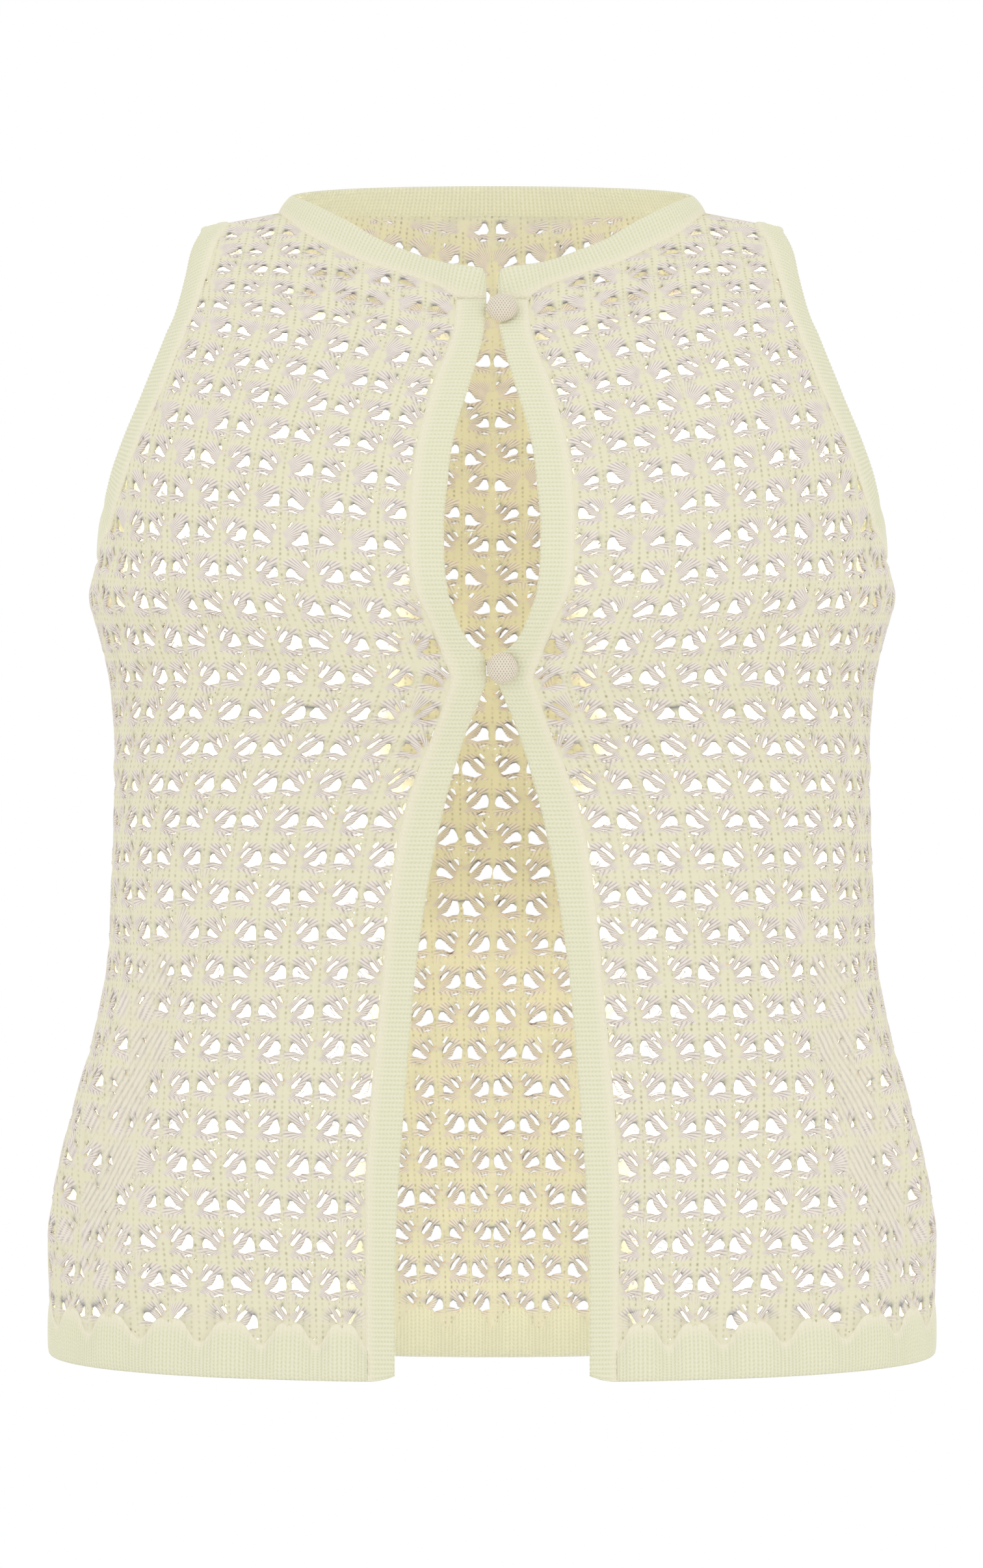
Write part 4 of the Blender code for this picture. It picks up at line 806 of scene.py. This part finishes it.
# The gaps' rims: a thin grey-blue shadow line over each gap and a thin warm one under it.
facing = add(tree, "Attribute", attribute_name="rim")
for way, thinness, tone in ((1.0, 3.5, "#8A8B90"), (-1.0, 6.0, "#DDB98C")):
    rim = add(tree, "Math", {0: (facing, "Fac"), 1: way}, operation="MULTIPLY")
    rim = add(tree, "Math", {0: rim, 1: 0.0}, operation="MAXIMUM")
    rim = add(tree, "Math", {0: rim, 1: thinness}, operation="POWER", use_clamp=True)
    colour = add(tree, "Mix", {0: rim, 6: (colour, 2), 7: linear(tone)}, data_type="RGBA")
relief = add(tree, "Math", {0: shaded_dots, 1: -1.0}, operation="MULTIPLY")
relief = add(tree, "Math", {0: (mottle, 0), 1: 0.35, 2: relief}, operation="MULTIPLY_ADD")
bump = add(tree, "Bump", {"Height": relief, "Strength": 0.6, "Distance": 0.0006})
plug(tree, shader, {"Base Color": (colour, 2), "Normal": bump, **KNIT_SURFACE})

FRONT_SEED, BACK_SEED = 11, 12
flat_front = front_outline()
for hand, side in HANDS:
    outline = flat_front if side > 0 else flat_front[::-1] * FLAT_MIRROR
    front = lace_panel("lace_front_" + hand, "front_" + hand, FRONT, outline, [side], 10, 33, FRONT_SEED)
back = lace_panel("lace_back", "back", BACK, back_outline(), [1, -1], 11, 34, BACK_SEED)

# ---------------------------------------------------------------- hem bands
# The ribbed bands along the hem: two under the fronts and one under the back, knitted straight on from the
# lace, whose last row of fans leaves their upper line scalloped. They are doubled, so the edge is round.

RIB_PITCH = 2.1
RIB_POINTS = 4  # points along the band for each rib
RIB_RELIEF_HEIGHT = 0.24
# Round the band: across it from its seam (0) to its edge (1), height over its middle, share of the ribs.
BAND_SECTION = np.array([
    (-0.07, 0.30, 0.2), (-0.02, 0.95, 0.7), (0.10, 1.15, 1.0), (0.30, 1.30, 1.0), (0.50, 1.35, 1.0),
    (0.70, 1.30, 1.0), (0.88, 1.15, 1.0), (0.97, 0.75, 1.0), (1.00, 0.10, 0.9), (0.975, -0.55, 0.8),
    (0.88, -0.90, 0.8), (0.60, -1.05, 0.8), (0.30, -1.00, 0.8), (0.00, -0.80, 0.5), (-0.07, -0.40, 0.2),
    (-0.07, 0.30, 0.2),
])  # fmt: skip
HEM_SECTION = BAND_SECTION.copy()
HEM_SECTION[:3, 1] = (0.30, 0.62, 0.95)  # it rises more gently from the lace


def close_ends(shape):
    bmesh.ops.holes_fill(shape, edges=[edge for edge in shape.edges if edge.is_boundary], sides=0)


def mesh_of(name, shape):
    """The mesh of a finished shape, its faces turned outwards."""
    bmesh.ops.recalc_face_normals(shape, faces=shape.faces)
    mesh = bpy.data.meshes.new(name)
    shape.to_mesh(mesh)
    shape.free()
    return mesh


def laid(form, side, lines):
    """Flat lines laid on the form, each as its points and their outward directions."""
    return [form.at(side * s, v) for s, v in lines], [form.normals(side * s, v) for s, v in lines]


def rib_band(name, node, rows, outs, ring=False, section=BAND_SECTION):
    """A band of ribs across its width, from its seam, middle and edge lines and their outward directions."""
    length = running_length(rows[1])
    ribs = round(length[-1] / RIB_PITCH)
    at = np.linspace(0.0, length[-1], ribs * RIB_POINTS + 1)
    t = section[:, 0, None]
    shares = 2 * (t - 0.5) * (t - 1), 4 * t * (1 - t), 2 * t * (t - 0.5)
    places, out = (
        sum(points_at(line, length, at)[:, None] * share for line, share in zip(lines, shares))
        for lines in (rows, outs)
    )
    wave = np.cos(2 * math.pi * np.arange(len(at)) / RIB_POINTS)[:, None]
    height = section[:, 1] + np.sign(section[:, 1]) * RIB_RELIEF_HEIGHT * wave * section[:, 2]
    places = places + unit(out) * height[:, :, None]

    shape = bmesh.new()
    bmesh.ops.create_grid(shape, x_segments=len(at) - 1, y_segments=len(section) - 1, size=1.0)
    shape.verts.ensure_lookup_table()
    width = np.linalg.norm(rows[2] - rows[0], axis=1).mean()
    around = running_length(section[:, :2] * np.array([width, 1.0]))
    grid = {}
    for vert in shape.verts:
        column = round((vert.co.x + 1.0) / 2.0 * (len(at) - 1))
        line = round((vert.co.y + 1.0) / 2.0 * (len(section) - 1))
        grid[vert] = (column / RIB_POINTS, around[line])
        vert.co = Vector(places[column, line]) * MM
    uv = shape.loops.layers.uv.new("stitches")
    for face in shape.faces:
        for loop in face.loops:
            loop[uv].uv = grid[loop.vert]
    bmesh.ops.remove_doubles(shape, verts=shape.verts, dist=1e-6)
    if not ring:
        close_ends(shape)
    return add_piece(name, node, mesh_of(name, shape), rib_knit)


STITCH_HEIGHT = 1.7  # mm along a rib

# Rib knit in the same yarn, knitted closer: pale lime, painted lighter on the ribs and darker and greener
# between them and between its stitches, as painted light and shade of its relief.
rib_knit, tree, shader = material("rib_knit_cotton_viscose")
place = add(tree, "UVMap", uv_map="stitches")
split = add(tree, "SeparateXYZ", {0: place})
across = add(tree, "Math", {0: (split, 0), 1: 2 * math.pi}, operation="MULTIPLY")
wave = add(tree, "Math", {0: across}, operation="COSINE")
ridge = add(tree, "Math", {0: wave, 1: 0.5, 2: 0.5}, operation="MULTIPLY_ADD")
slant = add(tree, "Math", {0: (split, 0), 1: 1.0}, operation="PINGPONG")
slant = add(tree, "Math", {0: slant, 1: 4.0}, operation="MULTIPLY")
up = add(tree, "Math", {0: (split, 1), 1: 2 * math.pi / STITCH_HEIGHT, 2: slant}, operation="MULTIPLY_ADD")
bob = add(tree, "Math", {0: up}, operation="SINE")
bob = add(tree, "Math", {0: bob, 1: 0.5, 2: 0.5}, operation="MULTIPLY_ADD")
coords = add(tree, "TexCoord")
fuzz = add(tree, "TexNoise", {"Vector": (coords, "Object"), "Scale": 900.0, "Detail": 2.0})
soft = add(tree, "TexNoise", {"Vector": (coords, "Object"), "Scale": 30.0, "Detail": 2.0})
# Painted light on the ribs' crests, and painted shade in the dips between the ribs and between the stitches.
lit_crest = add(tree, "Mix", {0: (soft, 0), 6: linear("#EAE7D0"), 7: linear("#E6E6CB")}, data_type="RGBA")
shaded_dip = add(tree, "Mix", {0: bob, 6: linear("#D8D8B8"), 7: linear("#E3E2C6")}, data_type="RGBA")
colour = add(tree, "Mix", {0: ridge, 6: (shaded_dip, 2), 7: (lit_crest, 2)}, data_type="RGBA")
# Along its seam a band is as pale as the lace.
from_seam = add(tree, "MapRange", {0: (split, 1), 1: 0.5, 2: 7.0}, interpolation_type="SMOOTHSTEP")
colour = add(tree, "Mix", {0: from_seam, 6: linear("#EBE6CF"), 7: (colour, 2)}, data_type="RGBA")
relief = add(tree, "Math", {0: (fuzz, 0), 1: 0.5, 2: bob}, operation="MULTIPLY_ADD")
bump = add(tree, "Bump", {"Height": relief, "Strength": 0.5, "Distance": 0.0003})
plug(tree, shader, {"Base Color": (colour, 2), "Normal": bump, **KNIT_SURFACE})

BAND_DENSITY = 1.2  # a band's lines are worked out at steps of this length before the ribs are spaced
SEAM_ROUNDS = 4


def hem_band(name, node, form, start, halves, side):
    """The band under a front, or under both halves of the back. It begins at start, off the centre line."""
    share = np.linspace(1.0 - halves, 1.0, round(form.reach[0] / BAND_DENSITY) * halves)
    begin = start * (1 - np.abs(share)) * np.sign(share + 1e-9)  # the sign of a plain 0 would be 0
    edge_v = form.length_up(hem_height(form, share * form.reach[0]))
    edge_s = begin + share * form.reach_at(edge_v)
    top_s = edge_s
    for _ in range(SEAM_ROUNDS):
        top_v = hem_seam(form, top_s)
        top_s = begin + share * form.reach_at(top_v)
    lines = [(top_s, top_v), ((top_s + edge_s) / 2, (top_v + edge_v) / 2), (edge_s, edge_v)]
    return rib_band(name, node, *laid(form, side, lines), section=HEM_SECTION)


placket_foot = float(placket_line(np.array([HEM_HEIGHT]), 0.0)[0, 0])
for hand, side in HANDS:
    band = hem_band("hem_band_" + hand, "hem_band_front_" + hand, FRONT, placket_foot, 1, side)
band = hem_band("hem_band_behind", "hem_band_back", BACK, 0.0, 2, 1)

# ---------------------------------------------------------------- plackets
# The two front bands: the same rib, knitted sideways on to the fronts' edges, so that its ribs run across.
# They curve apart between the buttons and below the lower one.

PLACKET_TOP = -58.3
PLACKET_STATIONS = 460
CORNER_RISES, CORNER_LENGTH = (0.0, 0.7, 2.8), 7.0  # the hem's corner is rounded


def placket(name, node, side):
    heights = np.linspace(HEM_HEIGHT, PLACKET_TOP, PLACKET_STATIONS)
    low = clamp(1.0 - (heights - HEM_HEIGHT) / CORNER_LENGTH) ** 2
    lines = [placket_line(heights, part).T for part in (0.0, 0.5, 1.0)]
    for line, rise in zip(lines, CORNER_RISES):
        line[1] += rise * low
    return rib_band(name, node, *laid(FRONT, side, lines))


for hand, side in HANDS:
    band = placket("front_band_" + hand, "placket_" + hand, side)

# ---------------------------------------------------------------- neckband
# One strip of the same rib from front edge to front edge, round the back of the neck, where it stands up.

BACK_NECK_EDGE_X, BACK_NECK_EDGE_DEPTH, BACK_NECK_EDGE_POWER = 98.0, 71.0, 1.2
BACK_NECK_TOP = 13.5
NECKBAND_TURN = 0.7
NECK_STATIONS = 140


def neck_half():
    """The neckband's seam points, their outward directions and its edge points, from front to centre back."""
    length = running_length(FRONT_NECK[:, :2])
    at = np.linspace(0.0, length[-1], NECK_STATIONS)
    seam_x, seam_height, edge_x, edge_height, lean = columns_at(FRONT_NECK, length, at)
    v = FRONT.length_up(seam_height)
    v[-1] = FRONT.top
    s = FRONT.along(seam_x, v)
    seam, out = FRONT.at(s, v), FRONT.normals(s, v)
    edge = np.stack([edge_x, seam[:, 1] + lean, edge_height], axis=1)
    s = np.linspace(BACK_NECK_S, 0.0, NECK_STATIONS)[1:]
    v = np.full(len(s), BACK.top)
    back_seam, back_out = BACK.at(s, v), BACK.normals(s, v)
    turn = np.arccos(clamp(back_seam[:, 0] / NECK_HALF_WIDTH))
    shoulder = FRONT_NECK[-1, 3]
    back_edge = np.stack([
        BACK_NECK_EDGE_X * np.cos(turn),
        BACK_NECK_EDGE_DEPTH * np.sin(turn) ** BACK_NECK_EDGE_POWER,
        shoulder + (BACK_NECK_TOP - shoulder) * np.sin(turn),
    ], axis=1)  # fmt: skip
    return [np.concatenate(pair) for pair in ((seam, back_seam), (out, back_out), (edge, back_edge))]


mirror = np.array([-1.0, 1.0, 1.0])
seam, seam_out, edge = (np.concatenate([half[:-1] * mirror, half[::-1]]) for half in neck_half())
edge_out = unit(np.cross(unit(edge - seam), np.gradient(seam, axis=0)))
edge_out *= np.sign(np.sum(edge_out * seam_out, axis=1, keepdims=True))
outs = [unit(seam_out), unit(between(seam_out, edge_out, NECKBAND_TURN)), unit(edge_out)]
neckband = rib_band("neck_band", "neckband", [seam, (seam + edge) / 2, edge], outs)

# ---------------------------------------------------------------- armhole bands
# A ring of the same rib round each armhole, sewn on from the underarm up over the shoulder and back.

ARMHOLE_STATIONS = 180


def armhole_band(name, node, side):
    halves = []
    for form in (FRONT, BACK):
        lines = [armhole_line(form, ARMHOLE_STATIONS, part).T for part in (1.0, 0.5, 0.0)]
        halves.append(laid(form, side, lines))
    rows, outs = (
        [np.concatenate([front, back[-2::-1]]) for front, back in zip(*pair)] for pair in zip(*halves)
    )
    return rib_band(name, node, rows, outs, ring=True)


for hand, side in HANDS:
    band = armhole_band("arm_band_" + hand, "armhole_band_" + hand, side)

# ---------------------------------------------------------------- buttons
# Two domed buttons covered in a beige net cloth drawn tight over them and gathered in behind, each on a
# short shank sewn to the wearer's left front band.

BUTTON_CENTRES = {"upper": (4.6, -64.5), "lower": (4.6, -234.4)}
BUTTON_UPTURN = 0.5  # a button faces half as far up as the cloth under it
ABOVE_MIDDLE = 1.8  # from the middle of the band's cloth to the foot of the shank
SHANK_RADIUS, SHANK_LENGTH = 1.6, 2.4
# From the top of the dome to the foot of the shank: distance from the axis, height over the foot.
BUTTON_PROFILE = np.array([
    (0.0, 8.25), (1.2, 8.18), (2.4, 7.95), (3.6, 7.52), (4.7, 6.92), (5.6, 6.20), (6.3, 5.42), (6.8, 4.60),
    (7.15, 3.80), (7.25, 3.20), (7.05, 2.70), (6.5, 2.42), (5.6, 2.38), (4.2, 2.50), (2.6, 2.62),
    (1.9, 2.45), (1.6, 2.0), (1.5, 1.2), (1.55, 0.4), (1.65, 0.05), (0.0, 0.0),
])  # fmt: skip
BUTTON_STEPS, BUTTON_SIDES = 3, 64
NET_ACROSS, NET_UP = 1.5, 2.3  # mm from one hole to the next

# Beige net cloth: a close diagonal net whose small diamond-shaped holes show the darker button under it.
button_net, tree, shader = material("covered_button_beige_net")
place = add(tree, "UVMap", uv_map="cover")
split = add(tree, "SeparateXYZ", {0: place})
over = add(tree, "Math", {0: (split, 0), 1: math.pi / NET_ACROSS}, operation="MULTIPLY")
up = add(tree, "Math", {0: (split, 1), 1: math.pi / NET_UP}, operation="MULTIPLY")
one = add(tree, "Math", {0: over, 1: up}, operation="ADD")
other = add(tree, "Math", {0: over, 1: up}, operation="SUBTRACT")
one, other = (add(tree, "Math", {0: angle}, operation="COSINE") for angle in (one, other))
one, other = (add(tree, "Math", {0: wave, 1: wave}, operation="MULTIPLY") for wave in (one, other))
hole = add(tree, "Math", {0: one, 1: other}, operation="MULTIPLY")
hole = add(tree, "Math", {0: hole, 1: 1.6}, operation="POWER", use_clamp=True)
coords = add(tree, "TexCoord")
fuzz = add(tree, "TexNoise", {"Vector": (coords, "Object"), "Scale": 500.0, "Detail": 3.0})
net = add(tree, "Mix", {0: (fuzz, 0), 6: linear("#EBE2D2"), 7: linear("#DDD2C0")}, data_type="RGBA")
colour = add(tree, "Mix", {0: hole, 6: (net, 2), 7: linear("#A79A88")}, data_type="RGBA")
height = add(tree, "Math", {0: hole, 1: -1.0}, operation="MULTIPLY")
bump = add(tree, "Bump", {"Height": height, "Strength": 0.7, "Distance": 0.0003})
plug(tree, shader, {"Base Color": (colour, 2), "Normal": bump})
plug(tree, shader, {"Roughness": 0.8, "Specular IOR Level": 0.25, "Sheen Weight": 0.1})


def button_place(x, height):
    """A point in the middle of the left placket's cloth, and the direction that its button faces."""
    v = float(FRONT.length_up(height))
    s = float(FRONT.along(max(x, float(read(PLACKET, height, 2))), v)[0])
    point, normal = FRONT.at(s, v), FRONT.normals(s, v)
    point[0] = x
    return Vector(point), Vector((0.0, normal[1], normal[2] * BUTTON_UPTURN)).normalized()


def button(name, node, x, height):
    length = running_length(BUTTON_PROFILE)
    at = np.concatenate([
        np.linspace(a, b, BUTTON_STEPS, endpoint=False) for a, b in zip(length, length[1:])
    ] + [length[-1:]])  # fmt: skip
    shape = bmesh.new()
    from_top = shape.verts.layers.float.new("from_top")
    profile = columns_at(BUTTON_PROFILE, length, at)
    line = [shape.verts.new((max(out, 0.0) * MM, 0.0, up * MM)) for out, up in profile.T]
    for vert, distance in zip(line, at):
        vert[from_top] = distance
    for a, b in zip(line, line[1:]):
        shape.edges.new((a, b))
    bmesh.ops.spin(
        shape, geom=shape.verts[:] + shape.edges[:], cent=(0, 0, 0), axis=(0, 0, 1),
        angle=2 * math.pi, steps=BUTTON_SIDES, use_merge=True,
    )  # fmt: skip
    bmesh.ops.remove_doubles(shape, verts=shape.verts, dist=1e-6)
    uv = shape.loops.layers.uv.new("cover")
    for face in shape.faces:
        for loop in face.loops:
            co = loop.vert.co
            loop[uv].uv = Vector((co.x, co.y)).normalized() * loop.vert[from_top]
    middle, facing = button_place(x, height)
    turn = facing.to_track_quat("Z", "Y")
    for vert in shape.verts:
        vert.co = turn @ vert.co + (middle + facing * ABOVE_MIDDLE) * MM
    add_piece(name, node, mesh_of(name, shape), button_net)


for level, (x, height) in BUTTON_CENTRES.items():
    button("covered_button_" + level, "button_" + level, x, height)

# ---------------------------------------------------------------- button loops
# Two short loops of thin covered elastic, sewn into the wearer's right front edge. Each runs over the left
# band and round a button's shank, so little of it shows.

LOOP_RADIUS, LOOP_HALF_HEIGHT, LOOP_PLAY = 0.55, 3.2, 0.35
LOOP_RUN_STEPS, LOOP_TURN_STEPS, LOOP_RISE_SHARE = 18, 28, 0.65
LOOP_SIDES = 14
SEAM_GAP = 0.3

# Covered elastic: cream yarn braided round a rubber core, with a fine slanting braid.
loop_cord, tree, shader = material("covered_elastic_cord")
wound = {"Vector": (add(tree, "TexCoord"), "Object"), "Scale": 700.0, "Distortion": 1.0}
braid = add(tree, "TexWave", wound, bands_direction="DIAGONAL")
colour = add(tree, "Mix", {0: (braid, 1), 6: linear("#CFC9A4"), 7: linear("#E6E2C2")}, data_type="RGBA")
bump = add(tree, "Bump", {"Height": (braid, 1), "Strength": 0.4, "Distance": 0.0001})
plug(tree, shader, {"Base Color": (colour, 2), "Normal": bump, "Roughness": 0.75})


def button_loop(name, node, x, height):
    middle, facing = button_place(x, height)
    across = Vector((1.0, 0.0, 0.0))
    up = facing.cross(across)
    over = ABOVE_MIDDLE + SHANK_LENGTH / 2
    runs = []
    for side in (-1, 1):
        rise = side * LOOP_HALF_HEIGHT
        first = SEAM_GAP - float(read(PLACKET, height + rise, 2))
        run = []
        for step in range(LOOP_RUN_STEPS):
            share = step / LOOP_RUN_STEPS
            climb = min(1.0, share / LOOP_RISE_SHARE)
            out = over * climb * climb * (3.0 - 2.0 * climb)
            run.append(middle + across * ((first - x) * (1.0 - share)) + up * rise + facing * out)
        runs.append(run)
    far = SHANK_RADIUS + LOOP_RADIUS + LOOP_PLAY
    turns = [math.pi * (step / LOOP_TURN_STEPS - 0.5) for step in range(LOOP_TURN_STEPS + 1)]
    round_shank = [
        middle + across * (far * math.cos(t)) + up * (LOOP_HALF_HEIGHT * math.sin(t)) + facing * over
        for t in turns
    ]
    route = runs[0] + round_shank + runs[1][::-1]
    shape = bmesh.new()
    rings = []
    for k, place in enumerate(route):
        ahead = (route[min(k + 1, len(route) - 1)] - route[max(k - 1, 0)]).normalized()
        side = ahead.cross(facing).normalized()
        out = side.cross(ahead)
        turns = [2 * math.pi * j / LOOP_SIDES for j in range(LOOP_SIDES)]
        ring = [place + (side * math.cos(t) + out * math.sin(t)) * LOOP_RADIUS for t in turns]
        rings.append([shape.verts.new(corner * MM) for corner in ring])
    edges = []
    for ring in rings:
        edges += [shape.edges.new((a, b)) for a, b in zip(ring, ring[1:] + ring[:1])]
    for near, beyond in zip(rings, rings[1:]):
        ends = [edge for edge in edges if edge.verts[0] in near or edge.verts[0] in beyond]
        bmesh.ops.bridge_loops(shape, edges=ends)
    close_ends(shape)
    add_piece(name, node, mesh_of(name, shape), loop_cord)


for level, (x, height) in BUTTON_CENTRES.items():
    button_loop("elastic_loop_" + level, "loop_" + level, x, height)

# ---------------------------------------------------------------- studio
# A pale floor under the hanging garment, white surroundings and broad soft lights.

scene = bpy.context.scene
scene.view_settings.view_transform = "Standard"
camera = bpy.data.objects.new("camera", bpy.data.cameras.new("camera"))
scene.collection.objects.link(camera)
camera.location = (-0.0003, -2.5, -0.289)
camera.rotation_euler = (math.pi / 2, 0.0, 0.0)
camera.data.sensor_fit = "VERTICAL"
camera.data.sensor_height = 36.0
camera.data.lens = 116.65
scene.camera = camera

world = bpy.data.worlds.new("white_studio")
world.use_nodes = True
background = world.node_tree.nodes["Background"]
plug(world.node_tree, background, {"Color": (1.0, 1.0, 1.0, 1.0), "Strength": 1.0})
scene.world = world

# Name, place, what it points at, width, height, power and spread in degrees. All but the first two stand in
# the hollow behind the fronts, so that the gaps in the lace show bright against the cloth.
LIGHTS = [
    ("key_left", (-1.3, -2.3, 0.8), (0.0, 0.0, -0.3), 1.8, 1.8, 4.6, 180),
    ("fill_right", (1.6, -2.1, -0.8), (0.0, 0.0, -0.3), 1.8, 2.2, 5.2, 180),
    ("behind_the_opening", (0.0, 0.0, -0.47), (0.0, 1.0, -0.47), 0.10, 0.22, 0.008, 30),
]
for level, (x, y, z), (to_x, to_z), width, height, power in (
    ("shoulder", (0.118, 0.0, -0.038), (0.25, -0.03), 0.05, 0.045, 0.02),
    ("chest", (0.105, 0.01, -0.165), (0.24, -0.165), 0.14, 0.23, 0.26),
    ("hip", (0.128, 0.01, -0.435), (0.26, -0.435), 0.15, 0.31, 0.36),
):
    for hand, side in HANDS:
        place, target = (side * x, y, z), (side * to_x, 1.0, to_z)
        LIGHTS.append((f"behind_the_{hand}_{level}", place, target, width, height, power, 30))
for name, place, target, width, height, power, spread in LIGHTS:
    lamp = bpy.data.lights.new(name, "AREA")
    lamp.shape = "RECTANGLE"
    lamp.size, lamp.size_y, lamp.energy, lamp.spread = width, height, power, math.radians(spread)
    light = bpy.data.objects.new(name, lamp)
    scene.collection.objects.link(light)
    light.location = place
    light.rotation_euler = (Vector(target) - Vector(place)).to_track_quat("-Z", "Z").to_euler()
    light.visible_camera = False

FLOOR_HEIGHT, FLOOR_SIZE = -1.25, 6.0
shape = bmesh.new()
bmesh.ops.create_grid(shape, x_segments=1, y_segments=1, size=FLOOR_SIZE / 2)
bmesh.ops.translate(shape, verts=shape.verts, vec=(0.0, 0.0, FLOOR_HEIGHT))
pale_floor, tree, shader = material("pale_matt_floor")
plug(tree, shader, {"Base Color": linear("#F2F1EE"), "Roughness": 0.9})
floor = bpy.data.objects.new("floor", mesh_of("floor", shape))
floor.data.materials.append(pale_floor)
scene.collection.objects.link(floor)
